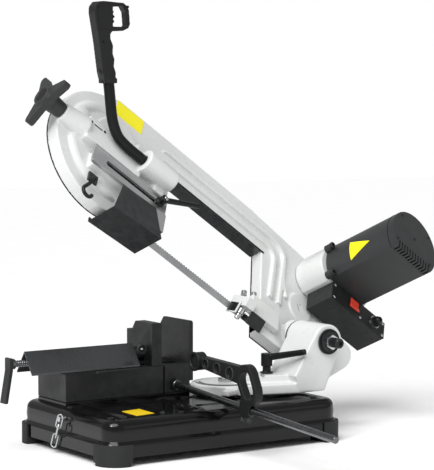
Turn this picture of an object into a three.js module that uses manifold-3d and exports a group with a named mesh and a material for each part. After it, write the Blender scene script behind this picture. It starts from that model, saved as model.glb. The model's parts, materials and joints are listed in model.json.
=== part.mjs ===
// Portable swivel-head metal-cutting band saw, in millimetres, +Z up.
// The saw is laid out round the centre of its base on the floor: +X runs along the base towards the
// bow pivot, +Y runs away from the operator. The bow is laid out in its own frame, whose x runs along
// the blade towards the pivot, y through the wheels away from the operator, and z up from the blade.
import * as THREE from "three";
import { mergeVertices } from "three/addons/utils/BufferGeometryUtils.js";
import Module from "manifold-3d";

const wasm = await Module();
wasm.setup();

// ---------------------------------------------------------------- driving dimensions
const GAP = 0.3; // between pieces that touch
const deg = Math.PI / 180;

const BOW_RAISED = 35.5 * deg; // blade line below horizontal towards the pivot
const BOW_TILT = 32 * deg; // wheels lean back from the upright cutting plane
const PIVOT = { x: 264.5, z: 167 }; // hinge axis of the bow, parallel to Y
const BLADE_BELOW_PIVOT = 30; // distance from the hinge axis to the blade line
const BLADE_Y = 25; // cutting plane

const TRAY = { x: 240, y: 159, low: 14, band: 36, top: 75, corner: 34, wall: 2, cx: 8.5, cy: 11 };
const FOOT = { size: 48, height: 36, proud: 4 };
const BED = { x0: -207, x1: -10, y0: 38, y1: 138, z0: 82, z1: 131, wall: 6 };
const BLOCK = { x0: -6, x1: 45.6 };
const JAW = { face: -13, thick: 20, y1: 105, top: 207 };
const SCREW = { y: 75, z: 151, r: 6, x0: -293 };
const ROD = { x: 13, y0: 37, z0: 97, y1: -435, z1: 66, r: 6 };

const ARM = { z0: 79, z1: 97, top: 110 }; // swivel arm: underside, ledge, raised middle
const SWIVEL = { x: 104, y: 12, r: 61 };
const BRACKET = { front: -80, web: 1, back: 7, r: 31 };
const LEVER = { x: 172, y: -20 };

const WHEEL = { r: 100, rim: 14, front: -495, rear: 10, z: 100 };
const BLADE = { width: 13, thick: 1 };
const CASTING = { front: -12, back: 13, wall: 4 };
const BEAM = { low: 161, high: 236 };
const TENSION = { y: -22, z: 100, hub: -657, boss: -618 };
const MOTOR = { x: 62, z: 184, r: 62, y0: -80, y1: -240, flat: 144 };
const BOX = { x0: 20, x1: 170, y0: -82, y1: -20, z0: 100, z1: 138 };
const FIRST_STAGE = { m: 1.5, pinion: 12, wheel: 40 };
const LAST_STAGE = { m: 2, pinion: 12, wheel: 64 };
const HANDLE = { y: 43, socket: 115, tube: 9.5 }; // the handle stands upright in a plane square to Y
const CHAIN = { x: -231.5, y: 4, hole: 62 };

// ---------------------------------------------------------------- materials
const paint = (color, roughness, metalness = 0) =>
  new THREE.MeshStandardMaterial({ color, roughness, metalness });
const WHITE = paint(0xe4e6e4, 0.4);
const GLOSS_BLACK = paint(0x101112, 0.18);
const SATIN_BLACK = paint(0x1c1d1e, 0.45);
const DARK_GREY = paint(0x3c3e40, 0.55);
const PLASTIC = paint(0x2a2b2c, 0.6);
const RUBBER = paint(0x2b2c2d, 0.8);
const STEEL = paint(0xb8babc, 0.3, 1);
const DARK_STEEL = paint(0x55585a, 0.35, 0.9);
const RED = paint(0xc8321e, 0.35);

// ---------------------------------------------------------------- solids
function solid(geometry) {
  const bare = geometry.clone();
  bare.deleteAttribute("normal");
  bare.deleteAttribute("uv");
  const merged = mergeVertices(bare, 1e-4);
  return new wasm.Manifold(
    new wasm.Mesh({
      numProp: 3,
      vertProperties: new Float32Array(merged.attributes.position.array),
      triVerts: new Uint32Array(merged.index.array),
    }),
  );
}

const join = (first, ...rest) => rest.reduce((a, b) => a.add(b), first);
const cut = (first, ...rest) => rest.reduce((a, b) => a.subtract(b), first);

function geometryOf(made) {
  const mesh = made.getMesh();
  const geometry = new THREE.BufferGeometry();
  geometry.setAttribute("position", new THREE.BufferAttribute(mesh.vertProperties, 3));
  geometry.setIndex(new THREE.BufferAttribute(mesh.triVerts, 1));
  const flat = geometry.toNonIndexed();
  flat.computeVertexNormals();
  return flat;
}

function piece(group, name, made, material) {
  const mesh = new THREE.Mesh(geometryOf(made), material);
  mesh.name = name;
  group.add(mesh);
}

const box = (x0, x1, y0, y1, z0, z1) =>
  solid(
    new THREE.BoxGeometry(x1 - x0, y1 - y0, z1 - z0).translate(
      (x0 + x1) / 2,
      (y0 + y1) / 2,
      (z0 + z1) / 2,
    ),
  );

// A round bar between two points, given as [x, y, z].
function bar(from, to, r, sides = 20, rEnd = r) {
  const a = new THREE.Vector3(...from);
  const along = new THREE.Vector3(...to).sub(a);
  const turn = new THREE.Quaternion().setFromUnitVectors(
    new THREE.Vector3(0, 1, 0),
    along.clone().normalize(),
  );
  const middle = a.clone().addScaledVector(along, 0.5);
  const geometry = new THREE.CylinderGeometry(rEnd, r, along.length(), sides);
  return solid(geometry.applyQuaternion(turn).translate(middle.x, middle.y, middle.z));
}

// An outline in the plane across an axis, pushed along that axis from low to high.
// Its points are (x, y) across z, (x, z) across y and (y, z) across x.
const PLANES = {
  x: new THREE.Matrix4().makeBasis(
    new THREE.Vector3(0, 1, 0),
    new THREE.Vector3(0, 0, 1),
    new THREE.Vector3(1, 0, 0),
  ),
  y: new THREE.Matrix4().makeBasis(
    new THREE.Vector3(1, 0, 0),
    new THREE.Vector3(0, 0, 1),
    new THREE.Vector3(0, -1, 0),
  ),
  z: new THREE.Matrix4(),
};

function prism(outline, axis, low, high) {
  const shape = new THREE.Shape(outline.map(([u, v]) => new THREE.Vector2(u, v)));
  const geometry = new THREE.ExtrudeGeometry(shape, { depth: high - low, bevelEnabled: false });
  geometry.translate(0, 0, axis === "y" ? -high : low);
  return solid(geometry.applyMatrix4(PLANES[axis]));
}

// The outline round a set of discs and points, [u, v, r], as a stretched band would lie.
function band(discs, steps = 20) {
  const points = discs.flatMap(([u, v, r = 0]) =>
    r === 0
      ? [[u, v]]
      : Array.from({ length: steps }, (_, i) => {
          const a = (2 * Math.PI * i) / steps;
          return [u + r * Math.cos(a), v + r * Math.sin(a)];
        }),
  );
  points.sort((a, b) => a[0] - b[0] || a[1] - b[1]);
  const turn = (o, a, b) => (a[0] - o[0]) * (b[1] - o[1]) - (a[1] - o[1]) * (b[0] - o[0]);
  const half = (list) => {
    const chain = [];
    for (const p of list) {
      while (chain.length > 1 && turn(chain.at(-2), chain.at(-1), p) <= 1e-9) chain.pop();
      chain.push(p);
    }
    chain.pop();
    return chain;
  };
  return [...half(points), ...half([...points].reverse())];
}

function roundedRectangle(x0, x1, y0, y1, r, steps = 4) {
  const centres = [
    [x1 - r, y1 - r, 0],
    [x0 + r, y1 - r, 1],
    [x0 + r, y0 + r, 2],
    [x1 - r, y0 + r, 3],
  ];
  return centres.flatMap(([x, y, quarter]) =>
    Array.from({ length: steps + 1 }, (_, i) => {
      const a = (quarter + i / steps) * 90 * deg;
      return [x + r * Math.cos(a), y + r * Math.sin(a)];
    }),
  );
}

// A closed skin over outlines of the same number of points at rising heights, [outline, z].
function loft(rings) {
  const count = rings[0][0].length;
  const vertices = rings.flatMap(([outline, z]) => outline.flatMap(([x, y]) => [x, y, z]));
  const faces = [];
  for (let k = 0; k + 1 < rings.length; k++)
    for (let i = 0; i < count; i++) {
      const j = (i + 1) % count;
      const a = k * count;
      faces.push(a + i, a + j, a + count + j, a + i, a + count + j, a + count + i);
    }
  const cap = THREE.ShapeUtils.triangulateShape(
    rings[0][0].map(([x, y]) => new THREE.Vector2(x, y)),
    [],
  );
  const top = (rings.length - 1) * count;
  for (const [a, b, c] of cap) faces.push(a, c, b, top + a, top + b, top + c);
  const geometry = new THREE.BufferGeometry();
  geometry.setAttribute("position", new THREE.Float32BufferAttribute(vertices, 3));
  geometry.setIndex(faces);
  return solid(geometry);
}

// A ring or disc turned about a line along y through (x, z), from a closed profile of [r, y].
function turned(profile, x, z, sides = 48) {
  const points = profile.map(([r, y]) => new THREE.Vector2(r, y));
  return solid(new THREE.LatheGeometry(points, sides).translate(x, 0, z));
}

// A tube of the radius r whose middle follows points in the plane y = level.
function bentTube(points, level, r, sides = 16, steps = 24) {
  const path = new THREE.CatmullRomCurve3(
    points.map(([x, z]) => new THREE.Vector3(x, level, z)),
    false,
    "centripetal",
  );
  const ring = Array.from({ length: sides }, (_, i) => {
    const a = (2 * Math.PI * i) / sides;
    return new THREE.Vector2(r * Math.cos(a), r * Math.sin(a));
  });
  return solid(new THREE.ExtrudeGeometry(new THREE.Shape(ring), { steps, extrudePath: path }));
}

const rodAt = (y) => ROD.z0 + ((ROD.z1 - ROD.z0) * (y - ROD.y0)) / (ROD.y1 - ROD.y0);

// ---------------------------------------------------------------- base
function trayOutline(inset) {
  const r = Math.max(TRAY.corner - inset, 4);
  return roundedRectangle(-TRAY.x + inset, TRAY.x - inset, -TRAY.y + inset, TRAY.y - inset, r);
}

function baseTray() {
  const edge = 14; // radius of the rolled upper edge
  const rolled = [0, 45, 90].map((a) => [
    trayOutline(5 + edge * (1 - Math.cos(a * deg))),
    TRAY.top - edge + edge * Math.sin(a * deg),
  ]);
  const outside = loft([
    [trayOutline(0), TRAY.low],
    [trayOutline(0), TRAY.band],
    [trayOutline(5), TRAY.band + 5],
    ...rolled,
  ]);
  const inside = loft([
    [trayOutline(TRAY.wall), TRAY.low - 1],
    [trayOutline(5 + TRAY.wall), TRAY.band + 2],
    [trayOutline(5 + TRAY.wall + edge), TRAY.top - TRAY.wall],
  ]);
  const bedSeat = box(BED.x0, BLOCK.x1, BED.y0, BED.y1, TRAY.top - 6, BED.z0 - GAP);
  const armSeat = bar(
    [SWIVEL.x + 8, SWIVEL.y, TRAY.top - 1],
    [SWIVEL.x + 8, SWIVEL.y, ARM.z0 - GAP],
    SWIVEL.r - 4,
    36,
  );
  const ribs = [-150, -95, -40].map((x) => box(x, x + 16, -118, 20, TRAY.top - 1, TRAY.top + 3));
  const pinHole = bar([SWIVEL.x, SWIVEL.y, 60], [SWIVEL.x, SWIVEL.y, 90], 8.3);
  const chainHole = bar([CHAIN.x - 5, CHAIN.y, CHAIN.hole], [CHAIN.x + 20, CHAIN.y, CHAIN.hole], 2.4, 12);
  const shift = [TRAY.cx, TRAY.cy, 0];
  const body = join(outside.translate(shift), bedSeat, armSeat, ...ribs);
  return cut(body, inside.translate(shift), pinHole, chainHole);
}

// A rubber corner: a pad under the tray's corner with a wall that wraps round outside it.
function foot(sx, sy) {
  const x1 = TRAY.x + FOOT.proud;
  const y1 = TRAY.y + FOOT.proud;
  const outline = roundedRectangle(x1 - FOOT.size, x1, y1 - FOOT.size, y1, 8);
  const wrap = [
    [x1 - FOOT.size, y1 - FOOT.size],
    [x1, y1 - FOOT.size],
    ...Array.from({ length: 9 }, (_, i) => {
      const r = TRAY.corner + FOOT.proud;
      const a = (i / 8) * 90 * deg;
      return [x1 - r + r * Math.cos(a), y1 - r + r * Math.sin(a)];
    }),
    [x1 - FOOT.size, y1],
  ];
  const solidCorner = prism(wrap, "z", 0, FOOT.height);
  const pad = prism(outline, "z", 0, TRAY.low - GAP);
  const space = prism(trayOutline(-GAP), "z", TRAY.low - GAP, FOOT.height + 1);
  const made = cut(solidCorner.intersect(join(pad, prism(wrap, "z", 5, FOOT.height))), space);
  return made.scale([sx, sy, 1]).translate([TRAY.cx, TRAY.cy, 0]);
}

function viseBed() {
  const { x0, x1, y0, y1, z0, z1, wall } = BED;
  const hollow = box(x0 + wall, x1 - wall, y0 + wall, y1 - wall, z0 - 1, z1 - wall);
  const slot = box(x0 + 20, x1 + 1, SCREW.y - 8, SCREW.y + 8, z1 - 14, z1 + 1);
  const relief = [
    [y0 - 1, z1 - 5],
    [y0 + 5, z1 + 1],
    [y0 - 1, z1 + 1],
  ];
  return cut(box(x0, x1, y0, y1, z0, z1), hollow, slot, prism(relief, "x", x0 - 1, x0 + 62));
}

function fixedJawBlock() {
  const { x0, x1 } = BLOCK;
  const [near, far] = [BED.y0 - 5, BED.y0 + 26];
  return cut(
    box(x0, x1, BED.y0, BED.y1, BED.z0, BED.z1),
    box(x0 - 1, x1 - 5, SCREW.y - 8, SCREW.y + 8, BED.z1 - 14, BED.z1 + 1),
    bar([ROD.x, far, rodAt(far)], [ROD.x, near, rodAt(near)], ROD.r + GAP),
  );
}

function fixedJaw() {
  const x = BLOCK.x1 + GAP;
  const outline = [
    [BED.y0, ARM.z1 + 3],
    [BED.y1, ARM.z1 + 3],
    [BED.y1, JAW.top - 12],
    [BED.y1 - 10, JAW.top],
    [BED.y0 + 3, JAW.top],
    [BED.y0, JAW.top - 3],
  ];
  return prism(outline, "x", x, x + 7);
}

function movingJaw() {
  const { face, thick, y1, top } = JAW;
  const z0 = BED.z1 + GAP;
  const plate = prism(
    [
      [BED.y0, z0],
      [y1, z0],
      [y1, top - 12],
      [y1 - 9, top],
      [BED.y0 + 3, top],
      [BED.y0, top - 3],
    ],
    "x",
    face - thick,
    face,
  );
  const wing = box(face - thick, face - 6, y1 - 1, y1 + 20, z0, top - 16);
  const hub = bar([face - thick + 1, SCREW.y, SCREW.z], [face - thick - 19, SCREW.y, SCREW.z], 13);
  const key = box(face - 60, face - 8, SCREW.y - 7.5, SCREW.y + 7.5, BED.z1 - 12, z0 + 2);
  const bore = bar([face - 14, SCREW.y, SCREW.z], [face - 70, SCREW.y, SCREW.z], SCREW.r + 0.3);
  return cut(join(plate, wing, hub, key), bore);
}

function screwNut() {
  const { x0, z1 } = BED;
  const eye = bar([x0 - 12, SCREW.y, SCREW.z], [x0 + 8, SCREW.y, SCREW.z], 9);
  const sole = box(x0 - 12, x0 + 8, SCREW.y - 9, SCREW.y + 9, z1 + GAP, SCREW.z - 4);
  const bore = bar([x0 - 20, SCREW.y, SCREW.z], [x0 + 20, SCREW.y, SCREW.z], SCREW.r + 0.3);
  return cut(join(eye, sole), bore);
}

// A bent sheet like a low roof over the lead screw, closed at the jaw's end.
function screwCover() {
  const [x0, x1] = [SCREW.x0 + 26, JAW.face - JAW.thick - 19.3];
  const sheet = 1.6;
  const roof = [
    [SCREW.y - 27, BED.z1 + 4],
    [SCREW.y, BED.z1 + 40],
    [SCREW.y + 27, BED.z1 + 4],
  ];
  const under = roof.map(([y, z]) => [y, z - 2 * sheet]);
  const skin = prism([...roof].reverse().concat(under), "x", x0, x1);
  const end = prism(roof, "x", x1 - sheet, x1);
  return cut(
    join(skin, end),
    bar([x1 - 20, SCREW.y, SCREW.z], [x1 + 5, SCREW.y, SCREW.z], SCREW.r + 0.5),
  );
}

const leadScrew = () =>
  join(
    bar([SCREW.x0, SCREW.y, SCREW.z], [JAW.face - 15, SCREW.y, SCREW.z], SCREW.r),
    bar([SCREW.x0, SCREW.y, SCREW.z], [SCREW.x0 + 7, SCREW.y, SCREW.z], SCREW.r + 3),
  );

function crankHandle() {
  const x = SCREW.x0 - GAP;
  const lean = 10;
  const outline = [
    [x - 6, SCREW.z + 11],
    [x, SCREW.z + 11],
    [x, SCREW.z - 10],
    [x - lean, SCREW.z - 66],
    [x - lean - 6, SCREW.z - 66],
    [x - 6, SCREW.z - 10],
  ];
  return prism(outline, "y", SCREW.y - 10, SCREW.y + 10);
}

// ---------------------------------------------------------------- length stop
function stopRod() {
  const y0 = BED.y0 + 22;
  const nutY = BED.y0 - 1;
  const shaft = bar([ROD.x, y0, rodAt(y0)], [ROD.x, ROD.y1, ROD.z1], ROD.r, 16);
  const nut = bar([ROD.x, nutY, rodAt(nutY)], [ROD.x, nutY - 8, rodAt(nutY - 8)], 10, 6);
  return join(shaft, nut);
}

const STOP_Y = -190; // where the stop arm sits on its rod

// The arm rises from its clamp round an oval ring, then runs back towards the blade to a round pad.
function stopArm() {
  const half = 7.5;
  const [x0, x1] = [ROD.x - half, ROD.x + half];
  const z = rodAt(STOP_Y);
  const clamp = prism(band([[STOP_Y, z, 15]], 24), "x", x0, x1);
  const neck = prism(band([[STOP_Y, z + 2, 14], [STOP_Y - 8, z + 30, 16]]), "x", x0, x1);
  const ring = prism(band([[STOP_Y - 12, z + 30, 23], [STOP_Y, z + 52, 24]]), "x", x0, x1);
  const beam = prism(band([[STOP_Y + 20, z + 56, 15], [-58, 147, 10]]), "x", x0, x1);
  const pad = prism(band([[-50, 148, 16]]), "x", x0 - 6, x1 - 4);
  const opening = prism(band([[STOP_Y - 11, z + 31, 14.5], [STOP_Y - 1, z + 50, 15.5]]), "x", 0, 30);
  const recesses = [-73, -109, -147].map((y, i) =>
    prism(band([[y, 145.5 - i * 3.5, 8.5 + i]], 20), "x", x0 - 1, x0 + 4),
  );
  const from = [ROD.x, STOP_Y - 40, rodAt(STOP_Y - 40)];
  const to = [ROD.x, STOP_Y + 40, rodAt(STOP_Y + 40)];
  return cut(join(clamp, neck, ring, beam, pad), opening, ...recesses, bar(from, to, ROD.r + 0.3));
}

// ---------------------------------------------------------------- swivel arm and pivot
function swivelArm() {
  const { front, web, back, r } = BRACKET;
  const disc = [SWIVEL.x, SWIVEL.y, SWIVEL.r];
  const low = prism(
    band([disc, [204, front], [256, front], [256, back], [215, back + 12, 14]], 36),
    "z",
    ARM.z0,
    ARM.z1,
  );
  const raised = prism(
    band([[LEVER.x - 42, LEVER.y + 10, 20], [LEVER.x, LEVER.y, 26], [236, -62, 12], [236, -10, 12]]),
    "z",
    ARM.z1 - 1,
    ARM.top,
  );
  const bracket = prism(
    band([[PIVOT.x, PIVOT.z, r], [192, ARM.top], [204, ARM.z0], [258, ARM.z0]], 32),
    "y",
    front,
    web,
  );
  const boss = bar([PIVOT.x, front, PIVOT.z], [PIVOT.x, back, PIVOT.z], r, 32);
  const lobe = prism(band([[PIVOT.x, PIVOT.z, 27], [316, 134, 25], [262, 84]]), "y", -50, -18);
  const hole = bar([PIVOT.x, front - 1, PIVOT.z], [PIVOT.x, back + 1, PIVOT.z], 9.3);
  const pinHole = bar([SWIVEL.x, SWIVEL.y, 60], [SWIVEL.x, SWIVEL.y, 130], 8.3);
  const boltHole = bar([LEVER.x, LEVER.y, 60], [LEVER.x, LEVER.y, 130], 5.3);
  return cut(join(low, raised, bracket, boss, lobe), hole, pinHole, boltHole);
}

const swivelPin = () =>
  join(
    bar([SWIVEL.x, SWIVEL.y, 66], [SWIVEL.x, SWIVEL.y, 104], 8),
    bar([SWIVEL.x, SWIVEL.y, ARM.z1 + GAP], [SWIVEL.x, SWIVEL.y, 104], 13, 6),
  );

function swivelLockLever() {
  const { x, y } = LEVER;
  const washerZ = ARM.top + GAP;
  return join(
    bar([x, y, ARM.z0 + 4], [x, y, washerZ + 20], 5),
    bar([x, y, washerZ], [x, y, washerZ + 3], 12),
    bar([x, y, washerZ + 2], [x, y, washerZ + 14], 7.5),
    bar([x, y, washerZ + 13], [x, y, washerZ + 36], 10.5),
    bar([x, y, washerZ + 28], [x + 36, y - 68, washerZ + 43], 6.5, 16, 5.5),
  );
}

const alongPivot = (y0, y1, r, sides = 24) =>
  bar([PIVOT.x, y0, PIVOT.z], [PIVOT.x, y1, PIVOT.z], r, sides);

const WASHER = { y0: -86, y1: BRACKET.front - GAP };

// ---------------------------------------------------------------- safety chain
// Three links hang from a screw in the tray's end wall.
function safetyChain() {
  const { x, y, hole } = CHAIN;
  const links = [0, 1, 2].map((i) => {
    const z = hole + 1.5 - i * 18;
    const [from, to] = [x - 6 - (i % 2), x - 3 - (i % 2)];
    const outside = prism(band([[y, z, 6], [y, z - 16, 6]], 16), "x", from, to);
    return cut(outside, prism(band([[y, z, 3.2], [y, z - 16, 3.2]], 12), "x", from - 1, to + 1));
  });
  return join(...links);
}

const chainScrew = () =>
  join(
    bar([CHAIN.x - 8, CHAIN.y, CHAIN.hole], [CHAIN.x + 12, CHAIN.y, CHAIN.hole], 2.1, 12),
    bar([CHAIN.x - 9, CHAIN.y, CHAIN.hole], [CHAIN.x - 7, CHAIN.y, CHAIN.hole], 5, 12),
    bar([CHAIN.x - 2, CHAIN.y, CHAIN.hole], [CHAIN.x + 4.7, CHAIN.y, CHAIN.hole], 4.5, 12),
  );

// ---------------------------------------------------------------- bow, in its own frame
const wAxis = [0, -Math.sin(BOW_TILT), Math.cos(BOW_TILT)]; // across the blade, square to the cut
const yAxis = [0, Math.cos(BOW_TILT), Math.sin(BOW_TILT)]; // the saw's +Y, seen in the bow's frame
// A point of the bow's frame, given as distances along the blade, along the saw's Y and across.
const inCut = (x, y, w) => [
  x,
  y * yAxis[1] + w * wAxis[1],
  y * yAxis[2] + w * wAxis[2],
];

const FRONT_HOUSING = [WHEEL.front, 102, 122];
const REAR_HOUSING = [WHEEL.rear, 102, 122];
// The rear housing is trimmed along this edge, which faces the throat of the bow.
const THROAT_EDGE = [
  [-105, 165],
  [-83, -20],
];

function castingBody(y0, y1, inset) {
  const shrink = ([x, z, r]) => [x, z, r - inset];
  const [low, high] = [BEAM.low + inset, BEAM.high - inset];
  const [near, far] = [WHEEL.front, WHEEL.rear];
  const [top, bottom] = THROAT_EDGE.map(([x, z]) => [x + inset, z]);
  const trim = [bottom, [far + 200, bottom[1]], [far + 200, high], [top[0], high], top];
  const rear = band([shrink(REAR_HOUSING), top, [bottom[0], bottom[1] + inset]], 48);
  return join(
    prism(band([shrink(FRONT_HOUSING), [near, high]], 48), "y", y0, y1),
    prism([[near, low], [far, low], [far, high - 12], [-150, high], [near, high]], "y", y0, y1),
    prism(rear, "y", y0, y1).intersect(prism(trim, "y", y0 - 1, y1 + 1)),
  );
}

const HUB = { face: 11, end: 30, r: 29 }; // the bow's hinge hub, in the saw's Y
const onHinge = (y) => inCut(0, y - BLADE_Y, BLADE_BELOW_PIVOT);
const onSocket = (x) => inCut(x, HANDLE.y - BLADE_Y, HANDLE.socket);
const GUIDE = { y0: -44, y1: -37.3, z0: 28, z1: 66, slot: 48, bolt: -390 };

// The last gear shaft stands one gear span from the motor and the other from the drive wheel.
const pitch = (stage, key) => (stage.m * stage[key]) / 2;
const GEAR_SHAFT = (() => {
  const first = pitch(FIRST_STAGE, "pinion") + pitch(FIRST_STAGE, "wheel");
  const last = pitch(LAST_STAGE, "pinion") + pitch(LAST_STAGE, "wheel");
  const [dx, dz] = [MOTOR.x - WHEEL.rear, MOTOR.z - WHEEL.z];
  const far = Math.hypot(dx, dz);
  const along = (last ** 2 - first ** 2 + far ** 2) / (2 * far);
  const aside = Math.sqrt(last ** 2 - along ** 2);
  return {
    x: WHEEL.rear + (along * dx - aside * dz) / far,
    z: WHEEL.z + (along * dz + aside * dx) / far,
  };
})();

const AXLE_BOSS = { r: 30, y: -14.8 };
const SLIDE_ROOM = { x0: -545, x1: -446, y: -32.5, z0: 84, z1: 116 };

// The hollow casting, open to the back, with the bosses that stand out of its front.
function bowFrame() {
  const { front, back, wall } = CASTING;
  const skin = front + 1;
  const shell = castingBody(front, back, 0);
  const bulge = prism(band([[-540, 76, 36], [-488, 140, 44], [-440, 30, 26]], 20), "y", front - 8, skin);
  const slideHousing = box(-566, -436, SLIDE_ROOM.y - 3, skin, 76, 126);
  const socket = bar(onSocket(-444), onSocket(-372), 22.5, 32, 20);
  const socketFoot = box(-446, -360, front - 14, skin, 86, 158);
  const tensionBoss = bar([TENSION.boss, TENSION.y, TENSION.z], [-560, TENSION.y, TENSION.z], 18);
  const guidePad = box(-540, -376, GUIDE.y1 + GAP, skin, 30, 62);
  const lug = box(-402, -378, GUIDE.y1 + GAP, skin, 60, 92);
  const ribs = [[176, -66], [200, -42]].map(([z, x]) => {
    const outer = roundedRectangle(-386, x, -40, z + 11, 30, 6);
    const inner = roundedRectangle(-400, x - 10, -60, z, 20, 6);
    const bent = cut(prism(outer, "y", front - 6, skin), prism(inner, "y", front - 7, skin + 1));
    return bent.intersect(box(-390, x + 1, front - 7, skin, 70, z + 12));
  });
  const axleBoss = bar([WHEEL.rear, AXLE_BOSS.y, WHEEL.z], [WHEEL.rear, skin, WHEEL.z], AXLE_BOSS.r, 28);
  const bosses = [bulge, slideHousing, socket, socketFoot, tensionBoss, guidePad, lug];
  const hollow = cut(
    join(shell, ...bosses, ...ribs, axleBoss),
    castingBody(front + wall, back + 1, 5),
  );
  const hub = bar(onHinge(HUB.face), onHinge(HUB.end), HUB.r, 32);
  const wheelRoom = band([[WHEEL.rear, WHEEL.z, WHEEL.r + 4]], 48);
  return cut(
    join(hollow, hub),
    prism(wheelRoom, "y", front + wall, back + 1),
    box(-95, 12, front + wall, back + 1, -10, 8),
    box(-447, -412, front + wall - 0.5, back + 1, -26, 14),
    box(SLIDE_ROOM.x0, SLIDE_ROOM.x1, SLIDE_ROOM.y, 0, SLIDE_ROOM.z0, SLIDE_ROOM.z1),
    bar([-620, TENSION.y, TENSION.z], [-540, TENSION.y, TENSION.z], 6.5),
    bar(onSocket(-470), onSocket(-388), HANDLE.tube + GAP),
    bar([GUIDE.bolt, -40, GUIDE.slot], [GUIDE.bolt, -15, GUIDE.slot], 4.3, 16),
    bar([WHEEL.rear, -13.5, WHEEL.z], [WHEEL.rear, 20, WHEEL.z], 9 + GAP),
    bar(onHinge(HUB.face - 5), onHinge(HUB.end - 1), 9 + GAP),
    bar([GEAR_SHAFT.x, -30, GEAR_SHAFT.z], [GEAR_SHAFT.x, 0, GEAR_SHAFT.z], 16),
  );
}

const wheelCover = () => castingBody(CASTING.back + GAP, CASTING.back + GAP + 1.7, 0);

const throatGuard = () =>
  box(-355, -106, CASTING.front, 15.6, BEAM.low - GAP - 3.2, BEAM.low - GAP);

// ---------------------------------------------------------------- wheels, blade and gears
// A cast wheel turning on y, with round holes through its web.
function wheel(x, bore, sides = 40) {
  const half = WHEEL.rim / 2;
  const profile = [
    [bore, -half],
    [22, -half],
    [22, 1],
    [WHEEL.r - 8, 1],
    [WHEEL.r - 8, -half],
    [WHEEL.r, -half],
    [WHEEL.r, half],
    [WHEEL.r - 8, half],
    [WHEEL.r - 8, 5],
    [22, 5],
    [22, half + 1.5],
    [bore, half + 1.5],
    [bore, -half],
  ];
  return turned(profile, x, WHEEL.z, sides);
}

function idlerWheel() {
  const holes = Array.from({ length: 5 }, (_, i) => {
    const a = i * 72 * deg;
    const [x, z] = [WHEEL.front + 57 * Math.cos(a), WHEEL.z + 57 * Math.sin(a)];
    return bar([x, -20, z], [x, 20, z], 17, 16);
  });
  return cut(wheel(WHEEL.front, 10 + GAP), ...holes);
}

// A spur gear on y: plain straight-sided teeth with room between them.
function gear({ m }, teeth, x, z, y0, y1, turn = 0) {
  const steps = [
    [-1.25, -0.42],
    [1, -0.2],
    [1, 0.2],
    [-1.25, 0.42],
  ];
  const outline = Array.from({ length: teeth }, (_, i) => i).flatMap((i) =>
    steps.map(([out, side]) => {
      const r = (m * teeth) / 2 + m * 0.92 * out;
      const a = ((i + side * 0.52) / teeth) * 2 * Math.PI + turn;
      return [x + r * Math.cos(a), z + r * Math.sin(a)];
    }),
  );
  return prism(outline, "y", y0, y1);
}

// Turned so that a tooth of one gear faces a gap of the other along the line between them.
const meshTurn = (from, to, teeth, half = 0) =>
  Math.atan2(to.z - from.z, to.x - from.x) + (half * Math.PI) / teeth;

const DRIVE = { x: WHEEL.rear, z: WHEEL.z };

function driveGear() {
  const { wheel: teeth } = LAST_STAGE;
  const ring = gear(LAST_STAGE, teeth, DRIVE.x, DRIVE.z, -6.7, 0.7, meshTurn(DRIVE, GEAR_SHAFT, teeth));
  return cut(ring, bar([DRIVE.x, -20, DRIVE.z], [DRIVE.x, 20, DRIVE.z], 22 + GAP, 48));
}

// The wheel of the first stage and the pinion of the last share one shaft.
function gearShaft() {
  const { x, z } = GEAR_SHAFT;
  const { pinion } = LAST_STAGE;
  const { wheel: teeth } = FIRST_STAGE;
  return join(
    gear(LAST_STAGE, pinion, x, z, -6.7, 0.7, meshTurn(GEAR_SHAFT, DRIVE, pinion, 1)),
    gear(FIRST_STAGE, teeth, x, z, -30, -24, meshTurn(GEAR_SHAFT, MOTOR, teeth)),
    bar([x, -46, z], [x, 0, z], 7.5),
  );
}

function driveAxle() {
  const [x, z] = [WHEEL.rear, WHEEL.z];
  return join(bar([x, -13.2, z], [x, 12.4, z], 9), bar([x, 9, z], [x, 12.4, z], 15));
}

function tensionSlide() {
  const { y, z0, z1 } = SLIDE_ROOM;
  const x = WHEEL.front;
  return join(
    box(x - 36, x + 34, y + 0.5, CASTING.front, z0 + 0.5, z1 - 0.5),
    bar([x, CASTING.front - 1, WHEEL.z], [x, 12.4, WHEEL.z], 10),
    bar([x, 9, WHEEL.z], [x, 12.4, WHEEL.z], 15),
  );
}

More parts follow.
